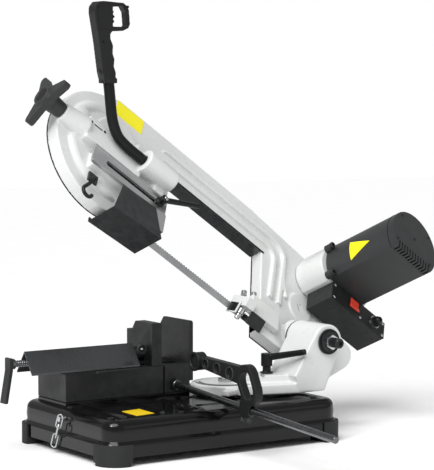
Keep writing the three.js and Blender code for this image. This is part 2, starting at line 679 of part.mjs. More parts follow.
// An endless band: its width lies along the wheels, and turns upright between the two guides.
function blade() {
  const r = WHEEL.r + GAP + BLADE.thick / 2;
  const upright = 90 * deg - BOW_TILT;
  const smooth = (t) => t * t * (3 - 2 * t);
  const front = Array.from({ length: 25 }, (_, i) => 270 - (i / 24) * 180).map((a) => [WHEEL.front, a]);
  const rear = Array.from({ length: 25 }, (_, i) => 90 - (i / 24) * 180).map((a) => [WHEEL.rear, a]);
  const round = [...front, ...rear].map(([x, a]) => {
    const out = new THREE.Vector3(Math.cos(a * deg), 0, Math.sin(a * deg));
    const at = new THREE.Vector3(x, 0, WHEEL.z).addScaledVector(out, r);
    return { at, out, across: new THREE.Vector3(0, 1, 0) };
  });
  const [a, b] = [GUIDES.front + 12, GUIDES.rear - 12];
  const eighths = [1, 2, 3, 4, 5, 6, 7].map((i) => i / 8);
  const twisting = (from, to, up) =>
    eighths.map((t) => [from + (to - from) * t, up ? t : 1 - t]);
  const straight = [
    ...twisting(WHEEL.rear, b, true),
    [b, 1],
    [a, 1],
    ...twisting(a, WHEEL.front, false),
  ].map(([x, t]) => {
    const turn = -upright * smooth(t);
    const at = new THREE.Vector3(x, 0, (WHEEL.z - r) * (1 - t));
    const out = new THREE.Vector3(0, Math.sin(turn), -Math.cos(turn));
    return { at, out, across: new THREE.Vector3(0, Math.cos(turn), Math.sin(turn)) };
  });
  const sections = [...round, ...straight];
  const corners = [
    [1, 1],
    [1, -1],
    [-1, -1],
    [-1, 1],
  ];
  const vertices = sections.flatMap(({ at, out, across }) =>
    corners.flatMap(([u, v]) =>
      at
        .clone()
        .addScaledVector(across, (u * BLADE.width) / 2)
        .addScaledVector(out, (v * BLADE.thick) / 2)
        .toArray(),
    ),
  );
  const faces = sections.flatMap((_, k) =>
    corners.flatMap((__, i) => {
      const [p, q] = [4 * k, 4 * ((k + 1) % sections.length)];
      const j = (i + 1) % 4;
      return [p + i, q + j, p + j, p + i, q + i, q + j];
    }),
  );
  const geometry = new THREE.BufferGeometry();
  geometry.setAttribute("position", new THREE.Float32BufferAttribute(vertices, 3));
  geometry.setIndex(faces);
  return solid(geometry);
}

// ---------------------------------------------------------------- blade guides
const GUIDES = { front: -381, rear: -133, roller: 8, top: 6.5, block: 20 };
// A solid drawn with y along the saw's Y and z across the blade, turned into the bow's frame.
const fromCut = (made) => made.rotate([BOW_TILT / deg, 0, 0]);
const EDGE = BLADE.width / 2;
const SIDE = BLADE.thick / 2 + GAP + GUIDES.roller;
const BACKING = EDGE + GAP + GUIDES.top;

// The block that carries two side rollers and one roller on the back of the blade.
function guideBlock(x, y0, y1) {
  const half = GUIDES.block / 2;
  const body = box(x - half, x + half, y0, y1, 9, 27);
  const slot = box(x - 7.5, x + 7.5, -4, 4, 5, 22);
  const pins = [-SIDE, SIDE].map((y) => bar([x, y, -5], [x, y, 10], 3, 16));
  return join(cut(body, slot), ...pins, bar([x, -8, BACKING], [x, 8, BACKING], 2, 12));
}

const sideRoller = (x, sign) =>
  fromCut(
    cut(
      bar([x, sign * SIDE, -4], [x, sign * SIDE, 6], GUIDES.roller, 20),
      bar([x, sign * SIDE, -9], [x, sign * SIDE, 9], 3 + GAP, 16),
    ),
  );

const backRoller = (x) =>
  fromCut(
    cut(
      bar([x, -3, BACKING], [x, 3, BACKING], GUIDES.top, 16),
      bar([x, -9, BACKING], [x, 9, BACKING], 2 + GAP, 12),
    ),
  );

function frontGuideBracket() {
  const half = GUIDES.block / 2;
  const x = GUIDES.front;
  const plate = box(x - half, x + half, GUIDE.y1 + GAP, -22, -6, 26);
  return join(fromCut(guideBlock(x, -26, 20)), plate);
}

// A slotted channel that slides along the blade, with a tab down to the front guide.
function guideArm() {
  const { y0, y1, z0, z1, slot } = GUIDE;
  const [x0, x1] = [-548, -370];
  const web = box(x0, x1, y0 + 3, y1, z0, z1);
  const lips = [box(x0, x1, y0, y1, z0, z0 + 4), box(x0, x1, y0, y1, z1 - 4, z1)];
  const tab = box(GUIDES.front - 16, x1, y0, y1, -8, z0 + 1);
  const opening = prism(band([[-511, slot, 5], [GUIDE.bolt, slot, 5]], 20), "y", y0 - 1, y1 + 1);
  return cut(join(web, ...lips, tab), opening);
}

function bladeGuard() {
  const sheet = 1.5;
  const y = GUIDE.y0 - GAP;
  const front = [[-485, -32], [-372, -24], [-396, 30], [-475, 24]];
  const bottom = [[-485, -32], [-372, -24], [-372, -24 - sheet], [-485, -32 - sheet]];
  const lip = [[-485, -32 - sheet], [-372, -24 - sheet], [-372, -16], [-485, -23]];
  return join(
    prism(front, "y", y - sheet, y),
    prism(bottom, "y", y - sheet, 20),
    prism(lip, "y", 20 - sheet, 20),
  );
}

function guideLockLever() {
  const { bolt: x, slot: z, y0 } = GUIDE;
  const face = y0 - GAP;
  return join(
    bar([x, face - 14, z], [x, -18, z], 4, 16),
    bar([x, face - 4, z], [x, face, z], 10),
    bar([x, face - 16, z], [x, face - 3, z], 8),
    bar([x, face - 10, z], [x + 79, face - 13, z + 44], 5.5, 16, 4.5),
  );
}

function rearGuideArm() {
  const y1 = CASTING.front - GAP;
  const { rear, block } = GUIDES;
  return join(
    box(rear + block / 2 + GAP, -50, y1 - 14, y1, -2, 36),
    box(rear + block / 2 + GAP, -96, y1 - 14, 0, 12, 30),
  );
}

const rearGuideBlock = () => fromCut(guideBlock(GUIDES.rear, -30, 20));

// ---------------------------------------------------------------- handle and tension knob
// The tube leaves its socket along the blade, then bends up to the grip. Points are [along, across].
const TUBE = [
  [-392, 115],
  [-449, 115],
  [-476, 115],
  [-500, 117],
  [-514, 121.5],
  [-529, 131],
  [-543, 144],
  [-572, 177],
  [-583.1, 188.8],
];
const GRIP_FOOT = [-584, 190];
// The grip is drawn upright, as it stands with the bow raised, from the foot of the grip.
const fromUpright = (u, v) => [
  GRIP_FOOT[0] + u * Math.cos(BOW_RAISED) - v * Math.sin(BOW_RAISED),
  GRIP_FOOT[1] + u * Math.sin(BOW_RAISED) + v * Math.cos(BOW_RAISED),
];
const uprightPrism = (outline, half) =>
  prism(
    outline.map(([u, v]) => fromUpright(u, v)),
    "y",
    HANDLE.y - BLADE_Y - half,
    HANDLE.y - BLADE_Y + half,
  );

const handleTube = (extra = 0) => bentTube(TUBE, HANDLE.y - BLADE_Y, HANDLE.tube + extra, 12, 18);

function triggerHandle() {
  const outline = [
    [-12, -9], [12, -9], [12, -1], [9, 1], [9.5, 9], [5.5, 20], [7, 32], [3.5, 41], [4, 56], [-1, 67],
    [-1, 75], [3, 80], [26, 81], [37, 86], [40, 93], [38, 117], [34, 124], [27, 129],
    [-14, 131], [-24, 130], [-31, 122], [-32, 112], [-23, 61], [-16, 10], [-13, -1],
  ];
  const opening = [[4, 122], [25, 123], [31, 113], [33, 91], [30, 88], [4, 88]];
  const pocket = [[-8, 90], [5, 90], [5, 120.5], [-8, 120.5]];
  const beside = [[6, 70], [50, 70], [50, 140], [6, 140]];
  const thinned = cut(uprightPrism(beside, 20), uprightPrism(beside, 8));
  return cut(
    uprightPrism([...outline].reverse(), 11.5),
    thinned,
    uprightPrism(opening.reverse(), 20),
    uprightPrism(pocket, 7),
    handleTube(GAP),
  );
}

function trigger() {
  const outline = [[-3, 92], [7, 93], [10, 97], [7, 101], [11, 105], [7, 109], [9, 114], [3, 119], [-3, 119]];
  return uprightPrism(outline, 6);
}

function tensionKnob() {
  const { y, z, hub } = TENSION;
  const across = (made) => made.translate([0, y, z]);
  const lobes = [76, 177, -51].map((angle) => {
    const [c, s] = [Math.cos(angle * deg), Math.sin(angle * deg)];
    const outline = band([[0, 0, 17], [46 * c, 46 * s, 7.5]], 20);
    return across(prism(outline, "x", hub - 5, hub + 9));
  });
  return join(
    bar([hub - 7, y, z], [hub + 12, y, z], 19),
    bar([hub + 10, y, z], [TENSION.boss - GAP, y, z], 17, 24, 14),
    ...lobes,
    bar([hub, y, z], [WHEEL.front - 36.5, y, z], 6),
  );
}

function chainHook() {
  const bend = [0, 1, 2, 3, 4, 5, 6].map((i) => (140 + i * 35) * deg);
  const curl = bend.map((a) => [-530 + 10 * Math.cos(a), -22 + 10 * Math.sin(a)]);
  const onBulge = CASTING.front - 8 - GAP;
  return join(
    bentTube([[-526, 12], [-529, -2], ...curl], onBulge - 3.6, 3.4, 10, 20),
    box(-535, -515, onBulge - 4, onBulge, 4, 22),
  );
}

// ---------------------------------------------------------------- motor, gearbox and controls
function gearboxHousing() {
  const { x, z, y0, flat } = MOTOR;
  const y1 = CASTING.front - GAP;
  const body = prism(band([[x, z, 66], [GEAR_SHAFT.x + 4, GEAR_SHAFT.z + 2, 40]], 36), "y", y0 + 2, y1);
  const gears = band([[GEAR_SHAFT.x, GEAR_SHAFT.z, 33.5], [x, z, 14]], 24);
  return cut(
    body,
    box(x - 150, x + 150, y0 - 1, y1 + 1, z - 100, BOX.z1 + GAP),
    prism(gears, "y", -33, y1 + 1),
    bar([x, y0 - 1, z], [x, y1 + 1, z], 9),
    bar([GEAR_SHAFT.x, -50, GEAR_SHAFT.z], [GEAR_SHAFT.x, 0, GEAR_SHAFT.z], 8),
    bar([x, y0 - 1, z], [x, y0 + 8, z], flat - 100),
  );
}

function motorBody(y0, y1, r, flat) {
  const { x, z } = MOTOR;
  return cut(bar([x, y0, z], [x, y1, z], r, 40), box(x - r, x + r, y0 - 1, y1 + 1, z - r - 1, flat));
}

const CAP = { y: -226 };

function motorHousing() {
  const { x, z, r, y0, flat } = MOTOR;
  const outside = motorBody(CAP.y + GAP, y0 + 1.7, r, flat);
  const inside = motorBody(CAP.y - 5, y0 + 5, r - 3.5, flat + 3.5);
  const ears = [162, 215].map((a) => {
    const [c, s] = [Math.cos(a * deg), Math.sin(a * deg)];
    const [ex, ez] = [x + (r + 4) * c, z + (r + 4) * s];
    return cut(bar([ex, y0 - 12, ez], [ex, y0 + 1.7, ez], 8, 16), inside);
  });
  return join(cut(outside, inside), ...ears);
}

function motorEndCap() {
  const { x, z, r, y1, flat } = MOTOR;
  const wall = 3.5;
  const shell = cut(
    motorBody(y1, CAP.y, r, flat),
    motorBody(y1 + wall, CAP.y + 1, r - wall, flat + wall),
  );
  const bearing = bar([x, y1 + 1, z], [x, y1 + 13, z], 16);
  const slots = Array.from({ length: 12 }, (_, i) => {
    const at = x - 42 + i * 7.6;
    return box(at, at + 3.6, y1 - 1, CAP.y - 2, flat - 1, flat + 16);
  });
  return cut(join(shell, bearing), ...slots, bar([x, y1 + 3, z], [x, y1 + 20, z], 7 + GAP));
}

function motorStator() {
  const { x, z, y0, flat } = MOTOR;
  const outside = motorBody(y0 - 120, y0 - 30, 62 - 3.5 - GAP, flat + 3.5 + GAP);
  return cut(outside, bar([x, y0 - 130, z], [x, y0, z], 33, 24));
}

// The rotor, with its pinion at one end of the shaft and its fan at the other.
function motorRotor() {
  const { x, z, y0, y1 } = MOTOR;
  const { pinion } = FIRST_STAGE;
  const vanes = Array.from({ length: 8 }, (_, i) =>
    box(10, 36, y1 + 18, y1 + 36, -1.2, 1.2)
      .rotate([0, i * 45, 0])
      .translate([x, 0, z]),
  );
  return join(
    bar([x, y1 + 18, z], [x, y1 + 38, z], 12),
    bar([x, y1 + 35, z], [x, y1 + 38, z], 36, 24),
    ...vanes,
    bar([x, y1 + 4, z], [x, -25, z], 7),
    bar([x, y0 - 118, z], [x, y0 - 32, z], 32, 24),
    gear(FIRST_STAGE, pinion, x, z, -31, -23, meshTurn(MOTOR, GEAR_SHAFT, pinion, 1)),
  );
}

const ROCKER = { x: 82, z: 122, w: 24, h: 22 };
const GLAND = { x: 140, z: 120 };

function controlBox() {
  const { x0, x1, y0, y1, z0, z1 } = BOX;
  return cut(box(x0, x1, y0, y1, z0, z1), box(x0 + 2.5, x1 - 2.5, y0 - 1, y1 - 2.5, z0 + 2.5, z1 - 2.5));
}

function controlPanel() {
  const { x0, x1, y0, z0, z1 } = BOX;
  const { x, z, w, h } = ROCKER;
  const y = y0 - GAP;
  return cut(
    box(x0, x1, y - 2, y, z0, z1),
    box(x - w / 2 - 0.7, x + w / 2 + 0.7, y - 5, y + 5, z - h / 2 - 1.5, z + h / 2 + 1.5),
    bar([GLAND.x, y - 9, GLAND.z], [GLAND.x, y + 9, GLAND.z], 6.3, 20),
  );
}

// The rocker stands tipped to its off side and turns on a line along the blade.
function rockerSwitch() {
  const { x, z, w, h } = ROCKER;
  const profile = [[8, -7], [8, 7], [-1, h / 2], [-5, h / 2], [-3, 0], [-5, -h / 2], [-1, -h / 2]];
  return prism(profile, "x", x - w / 2, x + w / 2)
    .rotate([-8, 0, 0])
    .translate([0, BOX.y0, z]);
}

function cableGland() {
  const { x, z } = GLAND;
  const y = BOX.y0 - GAP;
  return join(
    bar([x, y + 4, z], [x, y - 18, z], 6, 20),
    bar([x, y - 2 - GAP, z], [x, y - 8, z], 10, 6),
    bar([x, y - 8, z], [x, y - 15, z], 8.5, 20, 7.5),
  );
}

// ---------------------------------------------------------------- the saw, put together
const root = new THREE.Group();

piece(root, "base_tray", baseTray(), GLOSS_BLACK);
piece(root, "foot_front_left", foot(-1, -1), RUBBER);
piece(root, "foot_front_right", foot(1, -1), RUBBER);
piece(root, "foot_rear_left", foot(-1, 1), RUBBER);
piece(root, "foot_rear_right", foot(1, 1), RUBBER);
piece(root, "chain_screw", chainScrew(), STEEL);
piece(root, "safety_chain", safetyChain(), DARK_STEEL);

piece(root, "vise_bed", viseBed(), SATIN_BLACK);
piece(root, "fixed_jaw_block", fixedJawBlock(), SATIN_BLACK);
piece(root, "fixed_jaw", fixedJaw(), SATIN_BLACK);
piece(root, "screw_nut", screwNut(), SATIN_BLACK);
piece(root, "moving_jaw", movingJaw(), SATIN_BLACK);
piece(root, "screw_cover", screwCover(), DARK_GREY);
piece(root, "lead_screw", leadScrew(), STEEL);
piece(root, "crank_handle", crankHandle(), SATIN_BLACK);
piece(root, "stop_rod", stopRod(), STEEL);
piece(root, "stop_arm", stopArm(), SATIN_BLACK);

piece(root, "swivel_arm", swivelArm(), WHITE);
piece(root, "swivel_pin", swivelPin(), STEEL);
piece(root, "swivel_lock_lever", swivelLockLever(), SATIN_BLACK);
const hingeHole = alongPivot(-130, 40, 9 + GAP);
piece(root, "pivot_bolt", alongPivot(-116, HUB.end - 2, 9), DARK_STEEL);
piece(root, "pivot_washer", cut(alongPivot(WASHER.y0, WASHER.y1, 22, 28), hingeHole), SATIN_BLACK);
piece(root, "pivot_nut", cut(alongPivot(WASHER.y0 - 9, WASHER.y0 - GAP, 14, 6), hingeHole), STEEL);
const spacer = alongPivot(BRACKET.back + GAP, HUB.face - GAP, 30, 32);
piece(root, "pivot_spacer", cut(spacer, hingeHole), SATIN_BLACK);

const bow = new THREE.Group();
const along = new THREE.Vector3(Math.cos(BOW_RAISED), 0, -Math.sin(BOW_RAISED));
const across = new THREE.Vector3(Math.sin(BOW_RAISED), 0, Math.cos(BOW_RAISED));
const back = new THREE.Vector3(0, Math.cos(BOW_TILT), 0).addScaledVector(across, -Math.sin(BOW_TILT));
const up = new THREE.Vector3(0, Math.sin(BOW_TILT), 0).addScaledVector(across, Math.cos(BOW_TILT));
bow.applyMatrix4(new THREE.Matrix4().makeBasis(along, back, up));
bow.position.set(PIVOT.x, BLADE_Y, PIVOT.z).addScaledVector(across, -BLADE_BELOW_PIVOT);
root.add(bow);

piece(bow, "bow_frame", bowFrame(), WHITE);
piece(bow, "wheel_cover", wheelCover(), SATIN_BLACK);
piece(bow, "throat_guard", throatGuard(), DARK_GREY);
piece(bow, "chain_hook", chainHook(), SATIN_BLACK);
piece(bow, "blade", blade(), STEEL);
piece(bow, "idler_wheel", idlerWheel(), DARK_GREY);
piece(bow, "tension_slide", tensionSlide(), STEEL);
piece(bow, "tension_knob", tensionKnob(), PLASTIC);
piece(bow, "drive_wheel", wheel(WHEEL.rear, 9 + GAP), DARK_GREY);
piece(bow, "drive_axle", driveAxle(), STEEL);
piece(bow, "drive_gear", driveGear(), STEEL);
piece(bow, "gear_shaft", gearShaft(), STEEL);

piece(bow, "guide_arm", guideArm(), DARK_STEEL);
piece(bow, "blade_guard", bladeGuard(), SATIN_BLACK);
piece(bow, "front_guide_bracket", frontGuideBracket(), STEEL);
piece(bow, "guide_lock_lever", guideLockLever(), SATIN_BLACK);
piece(bow, "rear_guide_arm", rearGuideArm(), WHITE);
piece(bow, "rear_guide_block", rearGuideBlock(), SATIN_BLACK);
for (const [place, x] of [["front", GUIDES.front], ["rear", GUIDES.rear]]) {
  piece(bow, place + "_roller_near", sideRoller(x, -1), STEEL);
  piece(bow, place + "_roller_far", sideRoller(x, 1), STEEL);
  piece(bow, place + "_roller_back", backRoller(x), STEEL);
}

piece(bow, "gearbox_housing", gearboxHousing(), WHITE);
piece(bow, "motor_housing", motorHousing(), DARK_GREY);
piece(bow, "motor_end_cap", motorEndCap(), DARK_GREY);
piece(bow, "motor_stator", motorStator(), DARK_STEEL);
piece(bow, "motor_rotor", motorRotor(), STEEL);
piece(bow, "control_box", controlBox(), SATIN_BLACK);
piece(bow, "control_panel", controlPanel(), PLASTIC);
piece(bow, "rocker_switch", rockerSwitch(), RED);
piece(bow, "cable_gland", cableGland(), STEEL);

const upright = new THREE.Group();
upright.rotation.x = BOW_TILT;
bow.add(upright);
piece(upright, "handle_tube", handleTube(), GLOSS_BLACK);
piece(upright, "trigger_handle", triggerHandle(), PLASTIC);
piece(upright, "trigger", trigger(), SATIN_BLACK);

// The part's origin is on the floor, under the middle of the box round the whole saw.
root.updateMatrixWorld(true);
const bounds = new THREE.Box3().setFromObject(root, true);
const middle = bounds.getCenter(new THREE.Vector3());
root.position.set(-middle.x, -middle.y, -bounds.min.z);

export default root;
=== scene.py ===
"""The looks of a swivel-head metal-cutting band saw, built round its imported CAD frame."""
import json
import math

import bmesh
import bpy
from mathutils import Matrix, Vector


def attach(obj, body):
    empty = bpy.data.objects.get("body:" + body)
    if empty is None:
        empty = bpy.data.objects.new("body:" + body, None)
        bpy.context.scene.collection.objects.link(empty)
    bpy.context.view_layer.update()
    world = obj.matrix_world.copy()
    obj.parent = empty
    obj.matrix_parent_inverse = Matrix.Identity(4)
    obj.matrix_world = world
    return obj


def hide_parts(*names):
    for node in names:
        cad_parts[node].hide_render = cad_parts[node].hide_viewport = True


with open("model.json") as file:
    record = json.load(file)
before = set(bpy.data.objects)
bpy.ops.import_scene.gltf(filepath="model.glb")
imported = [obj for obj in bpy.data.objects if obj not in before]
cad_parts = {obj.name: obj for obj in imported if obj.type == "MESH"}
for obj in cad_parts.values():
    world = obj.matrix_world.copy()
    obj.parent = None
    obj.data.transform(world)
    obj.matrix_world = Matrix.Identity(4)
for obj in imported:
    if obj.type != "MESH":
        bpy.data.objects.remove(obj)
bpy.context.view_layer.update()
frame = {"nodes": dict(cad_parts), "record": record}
NODES = frame["nodes"]
BODY = {n: b for b, ns in frame["record"]["behaviour"]["bodies"].items() for n in ns}
SLOT = {s["node"]: s["material_slot"] for s in frame["record"]["subparts"]}

# ------------------------------------------------------------ frames, in millimetres
MM = 0.001
CENTRE = Vector((-105.778, 130.697, 0))  # the design frame's zero, in the row frame
RAISED = math.radians(35.5)
TILT = math.radians(32)
ALONG = Vector((math.cos(RAISED), 0, -math.sin(RAISED)))
ACROSS = Vector((math.sin(RAISED), 0, math.cos(RAISED)))
ASIDE = Vector((0, 1, 0))
BACK = ASIDE * math.cos(TILT) - ACROSS * math.sin(TILT)
UP = ASIDE * math.sin(TILT) + ACROSS * math.cos(TILT)
HINGE_X, HINGE_Z = 264.5, 167
HEEL = Vector((HINGE_X, 25, HINGE_Z)) - ACROSS * 30  # the blade line's end under the hinge
SWIVEL_X, SWIVEL_Y = 104, 12
MOTOR_X, MOTOR_Z = 62, 184  # the motor's axis, in the bow's frame


def place(x, y, z, origin):
    """The matrix from a frame in millimetres to the row frame in metres."""
    turn = Matrix((x, y, z)).transposed().to_4x4()
    return Matrix.Scale(MM, 4) @ Matrix.Translation(origin + CENTRE) @ turn


BASE = place(Vector((1, 0, 0)), ASIDE, Vector((0, 0, 1)), Vector())
BOW = place(ALONG, BACK, UP, HEEL)
CUT = place(ALONG, ASIDE, ACROSS, HEEL)
GRIP = place(Vector((1, 0, 0)), ASIDE, Vector((0, 0, 1)), Vector((-118, 43, 636.4)))

# ------------------------------------------------------------ camera, floor and light
LOOK = math.radians(33.73)
DOWN = math.radians(3.99)


def stage_and_light():
    camera = bpy.data.objects.new("camera", bpy.data.cameras.new("camera"))
    bpy.context.scene.collection.objects.link(camera)
    camera.location = (-1.8910, -2.6604, 0.5952)
    aim = Vector(
        (math.sin(LOOK) * math.cos(DOWN), math.cos(LOOK) * math.cos(DOWN), -math.sin(DOWN))
    )
    camera.rotation_euler = aim.to_track_quat("-Z", "Y").to_euler()
    camera.data.lens = 145.9
    bpy.context.scene.camera = camera

    bm = bmesh.new()
    bmesh.ops.create_grid(bm, x_segments=2, y_segments=2, size=9)
    mesh = bpy.data.meshes.new("floor")
    bm.to_mesh(mesh)
    bm.free()
    floor = bpy.data.objects.new("floor", mesh)
    bpy.context.scene.collection.objects.link(floor)
    floor.data.materials.append(finish("floor_paint", (0.93, 0.93, 0.93), 0.7, mottle=0.01))

    world = bpy.data.worlds.new("studio")
    world.use_nodes = True
    nodes, links = world.node_tree.nodes, world.node_tree.links
    glow = nodes["Background"]
    glow.inputs["Color"].default_value = (1, 1, 1, 1)
    glow.inputs["Strength"].default_value = 0.42
    paper = nodes.new("ShaderNodeBackground")
    paper.inputs["Color"].default_value = (1, 1, 1, 1)
    seen = nodes.new("ShaderNodeLightPath")
    blend = nodes.new("ShaderNodeMixShader")
    links.new(seen.outputs["Is Camera Ray"], blend.inputs["Fac"])
    links.new(glow.outputs["Background"], blend.inputs[1])
    links.new(paper.outputs["Background"], blend.inputs[2])
    links.new(blend.outputs["Shader"], nodes["World Output"].inputs["Surface"])
    bpy.context.scene.world = world
    bpy.context.scene.view_settings.view_transform = "Standard"

    for name, kind, spot, size, power in [
        ("sky", "SUN", (-0.7, -0.5, 1.6), math.radians(45), 2.7),
        ("key", "AREA", (-1.9, -0.6, 1.5), 0.45, 14),
        ("fill", "AREA", (1.3, -2.2, 0.9), 1.2, 2),
    ]:
        lamp = bpy.data.lights.new(name, kind)
        if kind == "SUN":
            lamp.angle = size
        else:
            lamp.size = size
        lamp.energy = power
        light = bpy.data.objects.new(name, lamp)
        bpy.context.scene.collection.objects.link(light)
        light.location = spot
        towards = Vector((0, 0, 0.35)) - Vector(spot)
        light.rotation_euler = towards.to_track_quat("-Z", "Y").to_euler()


# ------------------------------------------------------------ materials
def finish(
    name,
    color,
    roughness,
    metallic=0.0,
    grain=(900.0, 0.05),
    stretch=(1, 1, 1),
    mottle=0.05,
    spread=0.08,
    coat=0.0,
    dust=None,
    specular=0.5,
):
    """A painted, moulded or machined surface: grain in the bump, cloudy colour and uneven gloss."""
    material = bpy.data.materials.new(name)
    material.use_nodes = True
    nodes, links = material.node_tree.nodes, material.node_tree.links
    shader = nodes["Principled BSDF"]
    shader.inputs["Metallic"].default_value = metallic
    shader.inputs["Coat Weight"].default_value = coat
    shader.inputs["Coat Roughness"].default_value = 0.06
    shader.inputs["Specular IOR Level"].default_value = specular

    where = nodes.new("ShaderNodeTexCoord")
    scaled = nodes.new("ShaderNodeMapping")
    scaled.inputs["Scale"].default_value = stretch
    links.new(where.outputs["Object"], scaled.inputs["Vector"])

    def noise(scale, detail, rough=0.5):
        n = nodes.new("ShaderNodeTexNoise")
        n.inputs["Scale"].default_value = scale
        n.inputs["Detail"].default_value = detail
        n.inputs["Roughness"].default_value = rough
        links.new(scaled.outputs["Vector"], n.inputs["Vector"])
        return n.outputs["Fac"]

    clouds = nodes.new("ShaderNodeValToRGB")
    low = [c * (1 - mottle) for c in color]
    high = [min(1, c * (1 + mottle)) for c in color]
    clouds.color_ramp.elements[0].position = 0.3
    clouds.color_ramp.elements[0].color = (*low, 1)
    clouds.color_ramp.elements[1].position = 0.7
    clouds.color_ramp.elements[1].color = (*high, 1)
    links.new(noise(9, 4), clouds.inputs["Fac"])
    tint = clouds.outputs["Color"]

    if dust:
        color2, cover = dust
        geometry = nodes.new("ShaderNodeNewGeometry")
        edge = nodes.new("ShaderNodeMapRange")
        edge.inputs["From Min"].default_value = 0.52
        edge.inputs["From Max"].default_value = 0.60
        edge.inputs["To Max"].default_value = cover
        links.new(geometry.outputs["Pointiness"], edge.inputs["Value"])
        patches = nodes.new("ShaderNodeMath")
        patches.operation = "MULTIPLY"
        links.new(edge.outputs["Result"], patches.inputs[0])
        links.new(noise(60, 5, 0.7), patches.inputs[1])
        worn = nodes.new("ShaderNodeMix")
        worn.data_type = "RGBA"
        links.new(patches.outputs["Value"], worn.inputs["Factor"])
        links.new(tint, worn.inputs["A"])
        worn.inputs["B"].default_value = (*color2, 1)
        tint = worn.outputs["Result"]
    links.new(tint, shader.inputs["Base Color"])

    gloss = nodes.new("ShaderNodeMapRange")
    gloss.inputs["From Min"].default_value = 0.3
    gloss.inputs["From Max"].default_value = 0.7
    gloss.inputs["To Min"].default_value = max(0.03, roughness - spread)
    gloss.inputs["To Max"].default_value = min(1, roughness + spread)
    links.new(noise(34, 6, 0.6), gloss.inputs["Value"])
    links.new(gloss.outputs["Result"], shader.inputs["Roughness"])

    scale, strength = grain
    bump = nodes.new("ShaderNodeBump")
    bump.inputs["Strength"].default_value = strength
    bump.inputs["Distance"].default_value = 0.0006
    links.new(noise(scale, 3, 0.6), bump.inputs["Height"])
    links.new(bump.outputs["Normal"], shader.inputs["Normal"])
    return material


WORN = ((0.09, 0.092, 0.095), 0.6)
LOOKS = {
    "white_casting": finish(
        "white_paint", (0.66, 0.67, 0.665), 0.30, 0, (420, 0.12),
        mottle=0.02, coat=0.2,
    ),
    "gloss_black_paint": finish(
        "gloss_black_paint", (0.0025, 0.0025, 0.003), 0.13, 0, (140, 0.08),
        coat=0.0, spread=0.04, specular=0.32,
    ),
    "rubber": finish(
        "rubber", (0.022, 0.0225, 0.023), 0.68, 0, (1500, 0.25),
        mottle=0.12, specular=0.2,
    ),
    "black_casting": finish(
        "black_casting", (0.007, 0.0073, 0.0077), 0.38, 0, (600, 0.25),
        mottle=0.15, dust=WORN, specular=0.2,
    ),
    "black_sheet": finish(
        "black_sheet", (0.006, 0.0063, 0.0067), 0.32, 0, (800, 0.12),
        mottle=0.12, dust=WORN, specular=0.2,
    ),
    "grey_sheet": finish(
        "grey_sheet", (0.085, 0.087, 0.09), 0.28, 0.75, (400, 0.05),
        mottle=0.12, dust=WORN, specular=0.35,
    ),
    "bare_steel": finish(
        "bare_steel", (0.56, 0.57, 0.58), 0.26, 1, (320, 0.05), (1, 6, 6),
        mottle=0.06,
    ),
    "zinc_steel": finish(
        "zinc_steel", (0.52, 0.53, 0.54), 0.28, 1, (320, 0.04), (1, 5, 5),
        mottle=0.08,
    ),
    "wheel_iron": finish(
        "wheel_iron", (0.10, 0.102, 0.105), 0.55, 0.4, (400, 0.30),
        mottle=0.12, dust=WORN,
    ),
    "motor_shell": finish(
        "motor_shell", (0.032, 0.033, 0.034), 0.38, 0.0, (900, 0.14),
        mottle=0.06, specular=0.3,
    ),
    "black_plastic": finish(
        "black_plastic", (0.011, 0.0113, 0.0117), 0.40, 0, (1500, 0.2),
        mottle=0.10, specular=0.22,
    ),
    "grey_plastic": finish(
        "grey_plastic", (0.030, 0.031, 0.032), 0.44, 0, (1300, 0.2),
        mottle=0.08, specular=0.28,
    ),
    "red_plastic": finish(
        "red_plastic", (0.68, 0.05, 0.025), 0.25, 0, (900, 0.05),
        mottle=0.06, coat=0.4,
    ),
    "copper_pack": finish(
        "copper_pack", (0.30, 0.17, 0.09), 0.45, 0.5, (300, 0.4), (1, 6, 1),
        mottle=0.15,
    ),
}
BLACK = finish("black_line", (0.004, 0.004, 0.0045), 0.5, 0, (900, 0.1), specular=0.2)
DARK_STEEL = finish("dark_steel", (0.16, 0.163, 0.168), 0.30, 1, (300, 0.05), (1, 5, 5), mottle=0.1)
YELLOW = finish("yellow_label", (0.95, 0.86, 0.004), 0.34, 0, (1200, 0.03), mottle=0.03, coat=0.2)
GUIDE_STEEL = finish("guide_steel", (0.52, 0.525, 0.53), 0.34, 0.85, (500, 0.03), (1, 5, 5), mottle=0.05)
AMBER = finish("amber_label", (0.95, 0.66, 0.01), 0.34, 0, (1200, 0.03), mottle=0.03, coat=0.2)
BLADE_STEEL = finish("blade_steel", (0.33, 0.335, 0.34), 0.36, 1, (240, 0.25), (1, 14, 1), mottle=0.14)
# A flat black for holes: painted shade where a hole's depth would look dark.
HOLE_SHADE_PAINT = finish("painted_hole_shade", (0.004, 0.004, 0.004), 0.8, 0, (900, 0.1))


# ------------------------------------------------------------ solids in mesh code
def add_bar(bm, a, b, r, sides=32, r2=None):
    a, b = Vector(a), Vector(b)
    turn = (b - a).to_track_quat("Z", "Y").to_matrix().to_4x4()
    where = Matrix.Translation((a + b) / 2) @ turn
    return bmesh.ops.create_cone(
        bm,
        cap_ends=True,
        segments=sides,
        radius1=r,
        radius2=r if r2 is None else r2,
        depth=(b - a).length,
        matrix=where,
    )["verts"]


def add_box(bm, x0, x1, y0, y1, z0, z1):
    middle = Matrix.Translation(((x0 + x1) / 2, (y0 + y1) / 2, (z0 + z1) / 2))
    size = Matrix.Diagonal((x1 - x0, y1 - y0, z1 - z0, 1))
    return bmesh.ops.create_cube(bm, size=1, matrix=middle @ size)["verts"]


